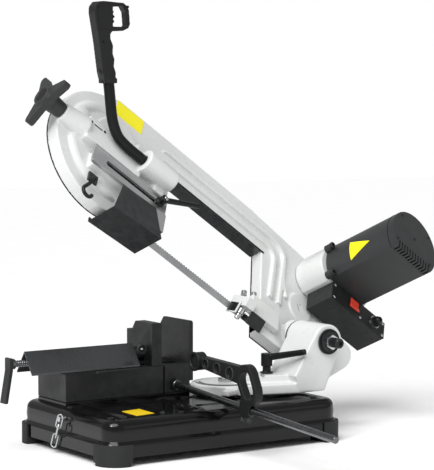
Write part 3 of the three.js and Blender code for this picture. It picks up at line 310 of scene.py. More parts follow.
def add_prism(bm, outline, axis, low, high):
    """An outline across an axis, pushed along it: (x, y) across z, (x, z) across y, (y, z) across x."""
    spread = {
        "z": lambda u, v, t: (u, v, t),
        "y": lambda u, v, t: (u, t, v),
        "x": lambda u, v, t: (t, u, v),
    }[axis]
    ends = [[bm.verts.new(spread(u, v, t)) for u, v in outline] for t in (low, high)]
    faces = [bm.faces.new(ends[0][::-1]), bm.faces.new(ends[1])]
    for i in range(len(outline)):
        j = (i + 1) % len(outline)
        faces.append(bm.faces.new((ends[0][i], ends[0][j], ends[1][j], ends[1][i])))
    bmesh.ops.recalc_face_normals(bm, faces=faces)
    return ends[0] + ends[1]


def add_lathe(bm, profile, origin, axis, sides=48):
    """A closed turned solid. The profile holds (distance along the axis, radius), from end to end."""
    turn = Vector(axis).to_track_quat("Z", "Y").to_matrix()
    origin = Vector(origin)
    rings = []
    for t, r in profile:
        if r == 0:
            rings.append([bm.verts.new(origin + turn @ Vector((0, 0, t)))])
            continue
        ring = []
        for i in range(sides):
            a = 2 * math.pi * i / sides
            ring.append(bm.verts.new(origin + turn @ Vector((r * math.cos(a), r * math.sin(a), t))))
        rings.append(ring)
    faces = []
    for p, q in zip(rings, rings[1:]):
        for i in range(sides):
            j = (i + 1) % sides
            corners = [p[i % len(p)], p[j % len(p)], q[j % len(q)], q[i % len(q)]]
            unique = list(dict.fromkeys(corners))
            if len(unique) > 2:
                faces.append(bm.faces.new(unique))
    for ring, flip in ((rings[0], True), (rings[-1], False)):
        if len(ring) > 1:
            faces.append(bm.faces.new(ring[::-1] if flip else ring))
    bmesh.ops.recalc_face_normals(bm, faces=faces)
    return [v for ring in rings for v in ring]


def add_ring(bm, profile, origin, axis, sides=48):
    """A turned ring from a closed profile of (distance along the axis, radius)."""
    turn = Vector(axis).to_track_quat("Z", "Y").to_matrix()
    origin = Vector(origin)
    rings = []
    for i in range(sides):
        a = 2 * math.pi * i / sides
        rings.append(
            [
                bm.verts.new(origin + turn @ Vector((r * math.cos(a), r * math.sin(a), t)))
                for t, r in profile
            ]
        )
    faces = []
    for i in range(sides):
        p, q = rings[i], rings[(i + 1) % sides]
        for k in range(len(profile)):
            m = (k + 1) % len(profile)
            faces.append(bm.faces.new((p[k], p[m], q[m], q[k])))
    bmesh.ops.recalc_face_normals(bm, faces=faces)


def add_sweep(bm, path, section, closed=False, up=Vector((0, 1, 0))):
    """A section of (aside, up) points carried along a path without twisting about it."""
    points = [Vector(p) for p in path]
    count = len(points)
    rings = []
    for i, p in enumerate(points):
        before = points[(i - 1) % count] if closed or i else p
        after = points[(i + 1) % count] if closed or i + 1 < count else p
        ahead = (after - before).normalized()
        aside = ahead.cross(up).normalized()
        over = aside.cross(ahead)
        rings.append([bm.verts.new(p + aside * u + over * v) for u, v in section])
    faces = []
    size = len(section)
    for i in range(count if closed else count - 1):
        p, q = rings[i], rings[(i + 1) % count]
        for k in range(size):
            m = (k + 1) % size
            faces.append(bm.faces.new((p[k], p[m], q[m], q[k])))
    if not closed:
        faces.append(bm.faces.new(rings[0][::-1]))
        faces.append(bm.faces.new(rings[-1]))
    bmesh.ops.recalc_face_normals(bm, faces=faces)


def circle(r, sides=16, flat=1.0):
    steps = [2 * math.pi * i / sides for i in range(sides)]
    return [(r * math.cos(a), r * flat * math.sin(a)) for a in steps]


def smooth_path(points, steps=8):
    """A curve through points, as a chain of Catmull-Rom spans."""
    p = [Vector(q) for q in points]
    p = [2 * p[0] - p[1], *p, 2 * p[-1] - p[-2]]
    out = []
    for i in range(1, len(p) - 2):
        for s in range(steps):
            t = s / steps
            a, b, c, d = p[i - 1 : i + 3]
            out.append(
                0.5
                * (2 * b + (c - a) * t + (2 * a - 5 * b + 4 * c - d) * t**2 + (3 * b - a - 3 * c + d) * t**3)
            )
    return [*out, p[-2]]


def soften(bm, width, segments=2, angle=32):
    """Rounds the sharp edges."""
    bm.normal_update()
    limit = math.radians(angle)
    sharp = [e for e in bm.edges if len(e.link_faces) == 2 and e.calc_face_angle(0) > limit]
    bmesh.ops.bevel(
        bm,
        geom=sharp,
        offset=width,
        offset_type="OFFSET",
        segments=segments,
        profile=0.5,
        affect="EDGES",
        clamp_overlap=True,
    )


def shade(bm, angle=34):
    bm.normal_update()
    limit = math.radians(angle)
    for f in bm.faces:
        f.smooth = True
    for e in bm.edges:
        e.smooth = len(e.link_faces) != 2 or e.calc_face_angle(0) < limit


def piece(name, bm, where, look, body, replaced=(), round_by=0.0, segments=2, slot=None):
    if round_by:
        soften(bm, round_by, segments)
    shade(bm)
    bm.transform(where)
    mesh = bpy.data.meshes.new(name)
    bm.to_mesh(mesh)
    bm.free()
    obj = bpy.data.objects.new(name, mesh)
    bpy.context.scene.collection.objects.link(obj)
    mesh.materials.append(look)
    weigh = obj.modifiers.new("even_normals", "WEIGHTED_NORMAL")
    weigh.keep_sharp = True
    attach(obj, body)
    if replaced:
        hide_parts(*replaced)
        slot = slot or SLOT[replaced[0]]
    return obj


def cad_mesh(node):
    """A node's own mesh, in metres, with its flat facets joined up."""
    bm = bmesh.new()
    bm.from_mesh(NODES[node].data)
    bmesh.ops.remove_doubles(bm, verts=bm.verts, dist=2e-6)
    bmesh.ops.dissolve_limit(
        bm, angle_limit=math.radians(0.6), verts=bm.verts, edges=bm.edges, delimit=set()
    )
    return bm


def rounded(node, width=0.8, segments=2, look=None):
    """The node with its edges broken, as made."""
    bm = cad_mesh(node)
    soften(bm, width * MM, segments)
    return piece(
        node + "_skin", bm, Matrix.Identity(4), look or LOOKS[SLOT[node]], BODY[node], (node,)
    )


def moulded(node, voxel, passes, extra=None, keep=0.5, look=None):
    """The node as cast or moulded: every edge and inside corner runs over in a radius."""
    bm = bmesh.new()
    bm.from_mesh(NODES[node].data)
    bmesh.ops.remove_doubles(bm, verts=bm.verts, dist=2e-6)
    if extra:
        extra.to_mesh(more := bpy.data.meshes.new("more"))
        bm.from_mesh(more)
    mesh = bpy.data.meshes.new(node + "_skin")
    bm.to_mesh(mesh)
    bm.free()
    obj = bpy.data.objects.new(node + "_skin", mesh)
    bpy.context.scene.collection.objects.link(obj)
    remesh = obj.modifiers.new("skin", "REMESH")
    remesh.mode = "VOXEL"
    remesh.voxel_size = voxel * MM
    relax = obj.modifiers.new("relax", "SMOOTH")
    relax.iterations = passes
    relax.factor = 0.5
    lighten = obj.modifiers.new("lighten", "DECIMATE")
    lighten.ratio = keep
    done = bpy.data.meshes.new_from_object(
        obj.evaluated_get(bpy.context.evaluated_depsgraph_get())
    )
    bpy.data.objects.remove(obj)
    out = bmesh.new()
    out.from_mesh(done)
    made = piece(
        node + "_skin", out, Matrix.Identity(4), look or LOOKS[SLOT[node]], BODY[node], (node,)
    )
    for f in made.data.polygons:
        f.use_smooth = True
    for e in made.data.edges:
        e.use_edge_sharp = False
    return made


# ------------------------------------------------------------ fasteners
def cap_screw(name, where, at, axis, r, height, body, look):
    """A socket-head screw standing on a face."""
    bm = bmesh.new()
    axis = Vector(axis).normalized()
    at = Vector(at)
    edge = 0.12 * r
    profile = [(0, 0), (0, r), (height - edge, r), (height, r - edge), (height, 0.56 * r)]
    profile += [(height * 0.35, 0.5 * r), (height * 0.35, 0)]
    add_lathe(bm, profile, at, axis, 24)
    return piece(name, bm, where, look, body, slot="bare_steel")


def hex_head(name, where, at, axis, r, height, body, look, slot="bare_steel"):
    bm = bmesh.new()
    axis = Vector(axis).normalized()
    at = Vector(at)
    add_bar(bm, at, at + axis * height, r, 6)
    add_lathe(
        bm,
        [(height - 0.01, 0), (height - 0.01, r * 0.8), (height + 0.5, r * 0.76), (height + 0.5, 0)],
        at,
        axis,
        24,
    )
    return piece(name, bm, where, look, body, round_by=0.3, slot=slot)


def pan_screw(name, where, at, axis, r, body, look):
    """A low domed screw with a cross recess."""
    bm = bmesh.new()
    axis = Vector(axis).normalized()
    at = Vector(at)
    dome = [(0, 0), (0, r), (r * 0.2, r), (r * 0.42, r * 0.8), (r * 0.52, r * 0.4), (r * 0.52, 0)]
    add_lathe(bm, dome, at, axis, 20)
    return piece(name, bm, where, look, body, slot="bare_steel")


# ------------------------------------------------------------ base
def tray_outline(inset, corner_steps=14):
    """The tray's rounded outline, as a list of points."""
    x, y = 240 - inset, 159 - inset
    r = max(34 - inset, 5)
    centre = Vector((8.5, 11))
    corners = [(x - r, y - r, 0), (r - x, y - r, 1), (r - x, r - y, 2), (x - r, r - y, 3)]
    points = []
    for k, (cx, cy, quarter) in enumerate(corners):
        arc = [(quarter + i / corner_steps) * math.pi / 2 for i in range(corner_steps + 1)]
        ring = [Vector((cx + r * math.cos(a), cy + r * math.sin(a))) for a in arc]
        nx, ny, nq = corners[(k + 1) % 4]
        a = nq * math.pi / 2
        ahead = Vector((nx + r * math.cos(a), ny + r * math.sin(a)))
        sides = 60 if k % 2 == 0 else 36
        points += ring + [ring[-1].lerp(ahead, i / sides) for i in range(1, sides)]
    return [p + centre for p in points]


def step(t):
    t = min(1, max(0, t))
    return t * t * (3 - 2 * t)


def pillow(x, y, x0, x1, y0, y1, edge):
    """One inside a rectangle, falling to nothing over its edge."""
    across_x = step((x - x0) / edge) * step((x1 - x) / edge)
    return across_x * step((y - y0) / edge) * step((y1 - y) / edge)


def tray_relief(x, y):
    """What the press puts into the top sheet, in millimetres above or below its flat."""
    ribs = sum(3.6 * pillow(x, y, at, at + 17, -112, 26, 6) for at in (-186, -110, -41))
    front = -2.6 * pillow(x, y, -16, 218, -124, -62, 9)
    corner = -2.2 * pillow(x, y, -222, -196, -132, -60, 8)
    lip = 1.6 * pillow(x, y, -214, 231, -142, -126, 6)
    return ribs + front + corner + lip


def build_tray():
    """The pressed tray: a skirt with a waist, a rolled shoulder and a panelled top."""
    skin = [(0, 14), (0, 20), (0, 27), (0, 33), (0.6, 35.5), (2, 37.6), (3.6, 39.2), (5, 41)]
    skin += [(5.2, 45), (4.6, 50), (4.6, 55), (5.2, 60)]
    turns = [math.pi * i / 16 for i in range(1, 9)]
    skin += [(5.2 + 14 * (1 - math.cos(a)), 61 + 14 * math.sin(a)) for a in turns]
    top = [(s, 75) for s in range(22, 156, 3)]
    under = [(s + 2, z - (2 if s > 12 else 0)) for s, z in skin[::-1]]
    bm = bmesh.new()
    rings = []
    for inset, z in [*skin, *top]:
        flat = z >= 75
        ring = []
        for p in tray_outline(inset):
            lift = tray_relief(p.x, p.y) if flat else 0
            ring.append(bm.verts.new((p.x, p.y, z + lift)))
        rings.append(ring)
    inner = [[bm.verts.new((p.x, p.y, max(z, 14))) for p in tray_outline(i)] for i, z in under]
    bm.faces.new(rings[-1])
    ceiling = bm.faces.new(inner[0][::-1])
    for p, q in [*zip(rings, rings[1:]), *zip(inner, inner[1:]), (inner[-1], rings[0])]:
        for i in range(len(p)):
            j = (i + 1) % len(p)
            bm.faces.new((p[i], p[j], q[j], q[i]))
    bmesh.ops.recalc_face_normals(bm, faces=bm.faces)
    ceiling.smooth = False
    tray = piece("tray_pressing", bm, BASE, LOOKS["gloss_black_paint"], "base", ("base_tray",))

    seat = bmesh.new()
    add_box(seat, -207, 45.6, 38, 138, 70, 81.7)
    piece("bed_seat", seat, BASE, LOOKS["gloss_black_paint"], "base", round_by=1.5, slot="gloss_black_paint")
    disc = bmesh.new()
    add_lathe(disc, [(0, 0), (0, 59), (4, 58), (8.7, 56), (8.7, 0)], (112, 12, 70), (0, 0, 1), 72)
    piece("swivel_seat", disc, BASE, LOOKS["gloss_black_paint"], "base", slot="gloss_black_paint")
    for name, x, y in [("a", -206, -112), ("b", -206, 24), ("c", 208, -112), ("d", -76, -122)]:
        look, slot = LOOKS["black_sheet"], "black_sheet"
        hex_head("tray_bolt_" + name, BASE, (x, y, 73.4), (0, 0, 1), 6, 4, "base", look, slot)
    plate = bmesh.new()
    add_prism(plate, [(-154, -108), (-116, -102), (-114, -50), (-152, -56)], "z", 74.8, 75.5)
    piece("base_label", plate, BASE, AMBER, "base", round_by=0.25, slot="gloss_black_paint")
    return tray


def build_chain():
    """Three wire links, each turned from the last, hanging slanted from the screw."""
    bm = bmesh.new()
    half, r = 8.2, 5.0
    lean = math.radians(26)
    down = Vector((0, math.sin(lean), -math.cos(lean)))
    aside = Vector((0, math.cos(lean), math.sin(lean)))
    out = Vector((-1, 0, 0))
    for i in range(3):
        middle = Vector((-237.9, 5, 58)) + down * 19.5 * i
        flat = (aside * 0.87 + out * 0.5, aside * 0.87 - out * 0.5)[i % 2]
        points = []
        for k in range(28):
            a = 2 * math.pi * k / 28
            along = math.copysign(half, math.sin(a)) + r * math.sin(a)
            points.append(middle + flat * r * math.cos(a) - down * along)
        add_sweep(bm, points, circle(1.3, 10), closed=True, up=flat.cross(down))
    piece("chain_links", bm, BASE, LOOKS["zinc_steel"], "chain", ("safety_chain",))


def build_base_parts():
    """The feet, the vise and the small fastenings, with their edges broken."""
    for corner in ("front_left", "front_right", "rear_left", "rear_right"):
        rounded("foot_" + corner, 2.0, 3)
    for node, width in [("vise_bed", 1.2), ("fixed_jaw_block", 1.0), ("fixed_jaw", 1.2)]:
        rounded(node, width)
    rounded("moving_jaw", 1.2)
    rounded("screw_nut", 0.8)
    rounded("screw_cover", 0.3, 1)
    rounded("crank_handle", 1.0)
    rounded("chain_screw", 0.4)
    rounded("swivel_pin", 0.6)
    boss = bmesh.new()
    profile = [(0, 0), (0, 9.5), (3, 9.5), (4, 8.5), (4, 6), (2.5, 5.5), (2.5, 0)]
    add_lathe(boss, profile, (-56, 38, 164), (0, -1, 0), 32)
    piece("jaw_bolt_boss", boss, BASE, LOOKS["black_casting"], "jaw", slot="black_casting")
    pan_screw("jaw_bolt", BASE, (-56, 35.5, 164), (0, -1, 0), 2.6, "jaw", LOOKS["bare_steel"])


def build_lead_screw():
    """A coarse thread between two plain ends."""
    bm = bmesh.new()
    x0, x1, pitch, sides, cuts = -293.0, -28.0, 4.0, 24, 8
    rings = []
    count = int((x1 - x0) / pitch * cuts)
    for k in range(count + 1):
        x = x0 + (x1 - x0) * k / count
        ring = []
        for i in range(sides):
            turn = i / sides
            phase = (x / pitch + turn) % 1
            crest = abs(2 * phase - 1)
            r = 6 - 1.5 * step(crest * 1.6 - 0.3)
            if x - x0 < 3 or x1 - x < 6:
                r = 5.2
            a = 2 * math.pi * turn
            ring.append(bm.verts.new((x, 75 + r * math.cos(a), 151 + r * math.sin(a))))
        rings.append(ring)
    for p, q in zip(rings, rings[1:]):
        for i in range(sides):
            j = (i + 1) % sides
            bm.faces.new((p[i], p[j], q[j], q[i]))
    bm.faces.new(rings[0][::-1])
    bm.faces.new(rings[-1])
    add_lathe(bm, [(0, 0), (0, 8), (1, 9), (6, 9), (7, 8), (7, 0)], (-293, 75, 151), (1, 0, 0), 32)
    piece("threaded_screw", bm, BASE, DARK_STEEL, "screw", ("lead_screw",))


def build_stop():
    """The ground rod and the stop arm that is clamped to it."""
    def rod(y):
        return 97 + (66 - 97) * (y - 37) / (-435 - 37)

    bm = bmesh.new()
    a, b = Vector((13, 60, rod(60))), Vector((13, -435, 66))
    along = (b - a).normalized()
    length = (b - a).length
    add_lathe(bm, [(0, 0), (0, 5.2), (1, 6), (length - 1.2, 6), (length, 4.8), (length, 0)], a, along, 40)
    n = Vector((13, 37, rod(37)))
    add_bar(bm, n, n + along * 8, 10, 6)
    add_lathe(bm, [(7.9, 0), (7.9, 8.4), (9.2, 7.6), (9.2, 0)], n, along, 32)
    piece("ground_rod", bm, BASE, DARK_STEEL, "rod", ("stop_rod",))
    moulded("stop_arm", 1.1, 3)
    for i, (y, z, r) in enumerate([(-73, 145.5, 8.5), (-109, 142, 9.5), (-147, 138.5, 10.5)]):
        rim = bmesh.new()
        profile = [(0, r - 1.2), (0, r + 1.4), (0.9, r + 1.0), (0.9, r - 0.8)]
        add_ring(rim, profile, (5.4, y, z), (-1, 0, 0), 40)
        piece(f"stop_rim_{i}", rim, BASE, LOOKS["grey_plastic"], "stop", slot="black_plastic")
    cup = bmesh.new()
    profile = [(0, 11), (0, 16.6), (2.4, 17), (3.2, 16.2), (3.2, 13.4), (1.2, 11)]
    add_ring(cup, profile, (-0.6, -50, 148), (-1, 0, 0), 48)
    piece("stop_cup", cup, BASE, LOOKS["black_plastic"], "stop", slot="black_plastic")
    at = Vector((13, -190, rod(-190)))
    for i, y in enumerate((-9, 9)):
        head = at + Vector((-3, y, -15))
        down = (-0.35, -0.1, -0.9)
        hex_head(f"stop_clamp_bolt_{i}", BASE, head, down, 5, 7, "stop", LOOKS["black_sheet"])


# ------------------------------------------------------------ swivel arm and hinge
def build_swivel():
    """The swivel arm with its angle scale and lock lever."""
    extra = bmesh.new()
    lug = [(60, -62), (84, -54), (96, -44), (78, -36), (58, -46)]
    add_prism(extra, lug, "z", 82, 92)
    extra.transform(BASE)
    moulded("swivel_arm", 1.8, 7, extra)
    arc = bmesh.new()
    out, inn = [], []
    for i in range(33):
        a = math.radians(150 + 140 * i / 32)
        out.append((SWIVEL_X + 55 * math.cos(a), SWIVEL_Y + 55 * math.sin(a)))
        inn.append((SWIVEL_X + 44 * math.cos(a), SWIVEL_Y + 44 * math.sin(a)))
    add_prism(arc, out + inn[::-1], "z", 96.6, 97.5)
    piece("angle_scale", arc, BASE, BLACK, "swivel", slot="black_sheet")
    ticks = bmesh.new()
    for i in range(29):
        a = math.radians(152 + 136 * i / 28)
        lo = 47 if i % 4 == 0 else 50
        c, s = math.cos(a), math.sin(a)
        side = Vector((-s, c)) * 0.45
        p = Vector((SWIVEL_X + lo * c, SWIVEL_Y + lo * s))
        q = Vector((SWIVEL_X + 54 * c, SWIVEL_Y + 54 * s))
        corners = [tuple(p - side), tuple(q - side), tuple(q + side), tuple(p + side)]
        add_prism(ticks, corners, "z", 97.3, 97.75)
    piece("angle_marks", ticks, BASE, LOOKS["white_casting"], "swivel", slot="white_casting")
    moulded("swivel_lock_lever", 1.0, 5)
    for i, (x, y) in enumerate([(150, -38), (212, -40)]):
        pan_screw(f"arm_screw_{i}", BASE, (x, y, 110), (0, 0, 1), 4, "swivel", LOOKS["bare_steel"])


def build_hinge():
    """The bow's hinge bolt, nut, washer and spacer."""
    x, z = HINGE_X, HINGE_Z
    axis = (0, -1, 0)
    washer = bmesh.new()
    profile = [(0, 9.6), (0, 22), (1.2, 23), (3.6, 23), (4.2, 21.6), (4.2, 19), (5.7, 18.4), (5.7, 9.6)]
    add_ring(washer, profile, (x, -80.3, z), axis, 56)
    piece("hinge_washer", washer, BASE, LOOKS["black_sheet"], "bow", ("pivot_washer",))
    collar = bmesh.new()
    add_bar(collar, (x, -86.3, z), (x, -95, z), 14, 6)
    piece("hinge_nut", collar, BASE, LOOKS["bare_steel"], "bow", ("pivot_nut",), 0.9)
    bolt = bmesh.new()
    profile = [(0, 0), (0, 9), (124, 9)]
    for i in range(7):
        profile += [(124.6 + i * 2, 9), (125.3 + i * 2, 7.9), (125.7 + i * 2, 7.9)]
    profile += [(139, 9), (142.5, 9), (144, 7.6), (144, 4.2), (141.5, 3.8), (141.5, 0)]
    add_lathe(bolt, profile, (x, 28, z), axis, 32)
    piece("hinge_bolt", bolt, BASE, LOOKS["black_sheet"], "bow", ("pivot_bolt",))
    spacer = bmesh.new()
    add_ring(spacer, [(0, 9.6), (0, 29), (1, 30), (2.4, 30), (3.4, 29), (3.4, 9.6)], (x, 10.7, z), axis, 64)
    piece("hinge_spacer", spacer, BASE, LOOKS["black_sheet"], "bow", ("pivot_spacer",))


# ------------------------------------------------------------ bow casting and covers
def arc_points(cx, cz, r, a0, a1, y, count=28):
    out = []
    for i in range(count + 1):
        a = math.radians(a0 + (a1 - a0) * i / count)
        out.append((cx + r * math.cos(a), y, cz + r * math.sin(a)))
    return out


def build_casting():
    """The bow casting with its ridges, the covers, the label and the chain hook."""
    extra = bmesh.new()
    ridge = [(11 * math.cos(a), 8.5 * math.sin(a)) for a in [2 * math.pi * i / 16 for i in range(16)]]
    low_ridge = [(9 * math.cos(a), 5.5 * math.sin(a)) for a in [2 * math.pi * i / 16 for i in range(16)]]
    add_sweep(extra, arc_points(-495, 102, 86, 196, 300, -12), ridge)
    add_sweep(extra, arc_points(-495, 102, 92, 98, 158, -12), low_ridge)
    add_sweep(extra, arc_points(-495, 102, 58, 188, 250, -12), low_ridge)
    add_bar(extra, (-617, -22, 100), (-566, -20, 100), 17.5, 40, 23)
    for x, z, r in [(-566, 130, 22), (-450, 150, 20)]:
        bmesh.ops.create_uvsphere(
            extra, u_segments=24, v_segments=12, radius=1,
            matrix=Matrix.Translation((x, -13, z)) @ Matrix.Diagonal((r, 9, r * 1.1, 1)),
        )
    bend = [(-90, -12, 205), (-62, -12, 197), (-47, -12, 176), (-44, -12, 130), (-30, -12, 96)]
    add_sweep(extra, smooth_path(bend, 6), [(u * 0.5, v * 0.8) for u, v in ridge])
    extra.transform(BOW)
    moulded("bow_frame", 1.7, 5, extra, keep=0.42)
    rounded("wheel_cover", 0.5, 1)
    rounded("throat_guard", 0.5, 1)
    seam = bmesh.new()
    add_box(seam, -352, -99, -13.0, -12.1, 157.6, 160.9)
    piece("throat_seam", seam, BOW, BLACK, "bow", slot="black_sheet")
    label = bmesh.new()
    corners = [(-500, 199), (-434, 199), (-434, 232), (-500, 232)]
    add_prism(label, corners, "y", -12.7, -11.6)
    piece("bow_label", label, BOW, YELLOW, "bow", round_by=0.2, slot="gloss_black_paint")
    for i, (x, z) in enumerate([(-414, 152), (-385, 152)]):
        at = (x, -25.5, z)
        cap_screw(f"socket_screw_{i}", BOW, at, (0, -1, 0), 3.0, 1.6, "bow", LOOKS["black_sheet"])
    for i, x in enumerate((-561, -530)):
        pan_screw(f"slide_screw_{i}", BOW, (x, -35.4, 113), (0, -1, 0), 2.6, "bow", LOOKS["black_sheet"])
    # A thin black strip on the slide's face: painted shade standing in for the slot's depth.
    slot = bmesh.new()
    add_box(slot, -555, -536, -36.0, -35.3, 110.5, 112.5)
    piece("slide_slot_shade", slot, BOW, BLACK, "bow", slot="black_sheet")

    hook = bmesh.new()
    path = [(-526, 12), (-529, -1)]
    for i in range(9):
        a = math.radians(140 + 26 * i)
        path.append((-530 + 10 * math.cos(a), -22 + 10 * math.sin(a)))
    add_sweep(hook, smooth_path([(x, -24.2, z) for x, z in path], 3), circle(3.4, 14))
    add_prism(hook, [(-535, 4), (-515, 4), (-515, 22), (-535, 22)], "y", -24.6, -20.4)
    add_lathe(hook, [(0, 0), (0, 4), (1.4, 4), (2.4, 3), (2.4, 0)], (-523, -24.5, 15), (0, -1, 0), 20)
    piece("hook", hook, BOW, LOOKS["black_sheet"], "bow", ("chain_hook",), 0.0)


def build_blade():
    """The endless band with its set teeth, twisted upright between the guides."""
    r, thick, width = 100.8, 0.8, 13.0
    upright = math.pi / 2 - TILT
    sections = []
    for x, start in ((-495, 270), (10, 90)):
        for i in range(61):
            a = math.radians(start - 180 * i / 60)
            out = Vector((math.cos(a), 0, math.sin(a)))
            sections.append((Vector((x, 0, 100)) + out * r, out, Vector((0, 1, 0))))
    run = [(10 - 155 * (i + 1) / 32, (i + 1) / 32) for i in range(31)] + [(-145, 1.0)]
    run += [(-145 - 224 * i / 75, 1.0) for i in range(1, 75)] + [(-369, 1.0)]
    run += [(-369 - 126 * (i + 1) / 26, 1 - (i + 1) / 26) for i in range(25)]
    for x, t in run:
        turn = -upright * step(t)
        out = Vector((0, math.sin(turn), -math.cos(turn)))
        at = Vector((x, 0, (100 - r) * (1 - t)))
        sections.append((at, out, Vector((0, math.cos(turn), math.sin(turn)))))
    dense = []
    for k, (p, out, over) in enumerate(sections):
        q, out2, over2 = sections[(k + 1) % len(sections)]
        parts = max(1, round((q - p).length / 3.0))
        for i in range(parts):
            t = i / parts
            dense.append((p.lerp(q, t), out.lerp(out2, t).normalized(), over.lerp(over2, t).normalized()))
    bm = bmesh.new()
    rings = []
    for k, (at, out, over) in enumerate(dense):
        tooth = -width / 2 + (1.7 if k % 2 else 0.0)
        bend = 0.28 * (1, 0, -1, 0)[k % 4]
        rows = [(width / 2, 0, 0.5), (tooth + 1.2, 0, 0.5), (tooth, bend, 0.28)]
        ring = [bm.verts.new(at + over * v + out * (off + thick * h)) for v, off, h in rows]
        ring += [bm.verts.new(at + over * v + out * (off - thick * h)) for v, off, h in rows[::-1]]
        rings.append(ring)
    for k, p in enumerate(rings):
        q = rings[(k + 1) % len(rings)]
        for i in range(6):
            j = (i + 1) % 6
            bm.faces.new((p[i], p[j], q[j], q[i]))
    bmesh.ops.recalc_face_normals(bm, faces=bm.faces)
    piece("toothed_band", bm, BOW, BLADE_STEEL, "bow", ("blade",))


# ------------------------------------------------------------ guides
def build_rear_plates():
    """The rear guide's white frame with its dark window, and the dark plate behind the eccentric."""
    rim = bmesh.new()
    add_prism(rim, [(-17, -9), (13, -9), (13, 14), (-17, 14)], "x", -147.2, -144.2)
    piece("rear_guide_frame", rim, CUT, LOOKS["white_casting"], "bow", round_by=1.0, slot="white_casting")
    window = bmesh.new()
    add_prism(window, [(-14, -6.5), (10, -6.5), (10, 11), (-14, 11)], "x", -148, -147)
    piece("rear_guide_window", window, CUT, BLACK, "bow", round_by=0.3, slot="black_sheet")
    plate = bmesh.new()
    add_prism(plate, [(-121, -14), (-84, -14), (-84, 11), (-121, 11)], "y", -24.5, -22)
    piece("rear_guide_side", plate, CUT, LOOKS["black_sheet"], "bow", round_by=0.8, slot="black_sheet")


def build_guides():
    """The sliding guide arm, the blade guides and their rollers."""
    rounded("guide_arm", 0.5, look=GUIDE_STEEL)
    # A black strip on the pad behind the arm's slot: painted shade, so the slot looks dark.
    strip = bmesh.new()
    add_prism(strip, [(-514, 43.2), (-396, 43.2), (-396, 52.8), (-514, 52.8)], "y", -37.2, -36.8)
    piece("guide_slot_shade_strip", strip, BOW, BLACK, "bow", slot="black_sheet")
    rounded("blade_guard", 0.4, 1)
    rounded("front_guide_bracket", 0.7)
    moulded("guide_lock_lever", 0.9, 5)
    at = (-390, -60.5, 48)
    cap_screw("lever_screw", BOW, at, (0, -1, 0), 4.2, 2.4, "guide_lever", LOOKS["bare_steel"])
    moulded("rear_guide_arm", 1.1, 6)
    for i, (x, y, z) in enumerate([(-130, -8, 36), (-116, -19, 36)]):
        cap_screw(f"guide_cap_{i}", BOW, (x, y, z), (0, 0, 1), 5.5, 9, "bow", LOOKS["bare_steel"])
    rounded("rear_guide_block", 0.8, look=LOOKS["white_casting"])
    for place_name, x, body in [("front", -381, "guide"), ("rear", -133, "bow")]:
        if place_name == "rear":
            build_rear_plates()
        eccentric = bmesh.new()
        profile = [(0, 0), (0, 6.5), (1, 7), (5, 7), (5, 5), (9, 5), (10, 4), (10, 2.2), (8, 2), (8, 0)]
        add_lathe(eccentric, profile, (x, -8.8, -4.5), (0, 0, -1), 24)
        piece(place_name + "_eccentric", eccentric, CUT, LOOKS["bare_steel"], body, slot="bare_steel")
        at = (x + 10.2, -14, 18)
        hex_head(place_name + "_adjuster", CUT, at, (1, 0, 0), 5, 4, body, LOOKS["bare_steel"])
        for roller in ("near", "far", "back"):
            rounded(f"{place_name}_roller_{roller}", 0.6)


# ------------------------------------------------------------ handle and knob
def build_handle():
    """The bent tube and the trigger grip."""
    path = [(-392, 115), (-449, 115), (-476, 115), (-500, 117), (-514, 121.5)]
    path += [(-529, 131), (-543, 144), (-572, 177), (-583.1, 188.8)]
    tube = bmesh.new()
    add_sweep(tube, smooth_path([(x, 18, w) for x, w in path], 8), circle(9.5, 36))
    piece("bent_tube", tube, CUT, LOOKS["black_sheet"], "bow", ("handle_tube",))
    extra = bmesh.new()
    for v in (9, 28, 46):
        bmesh.ops.create_uvsphere(
            extra, u_segments=20, v_segments=10, radius=1,
            matrix=Matrix.Translation((-4.5 - v * 0.05, 0, v + 2)) @ Matrix.Diagonal((13.6, 12.2, 8.5, 1)),
        )
    extra.transform(GRIP)
    moulded("trigger_handle", 1.0, 4, extra)
    moulded("trigger", 0.7, 3)
    collar = bmesh.new()
    profile = [(0, 9.8), (0, 12.6), (1.4, 13.6), (4.6, 13.6), (6, 12.6), (6, 9.8)]
    add_ring(collar, profile, (0, 0, -9), (0, 0, 1), 36)
    piece("grip_collar", collar, GRIP, LOOKS["black_plastic"], "bow", slot="black_plastic")
    for i, (u, v) in enumerate([(-16, 62), (33, 122), (-25, 121)]):
        cap_screw(f"grip_screw_{i}", GRIP, (u, -11.4, v), (0, -1, 0), 2.5, 0.8, "bow", BLACK)
    panel = bmesh.new()
    add_prism(panel, [(-24, 84), (-1, 84), (0, 124), (-26, 124)], "y", -12.1, -11.2)
    piece("grip_panel", panel, GRIP, LOOKS["black_plastic"], "bow", round_by=0.4, slot="black_plastic")


def build_knob():
    """The three-lobed tension knob, with a black disc in its recess painted as the hole's shade."""
    extra = bmesh.new()
    add_ring(extra, [(0, 12.5), (0, 18.5), (3.4, 17.8), (3.4, 13.5)], (-663.5, -22, 100), (-1, 0, 0), 40)
    extra.transform(BOW)
    moulded("tension_knob", 1.0, 5, extra, look=LOOKS["grey_plastic"])
    # A flat black disc inside the recess: painted shade standing in for the hole's depth.
    hole = bmesh.new()
    add_bar(hole, (-665.4, -22, 100), (-664.2, -22, 100), 12.4, 36)
    piece("knob_recess_shade", hole, BOW, HOLE_SHADE_PAINT, "knob", slot="black_plastic")


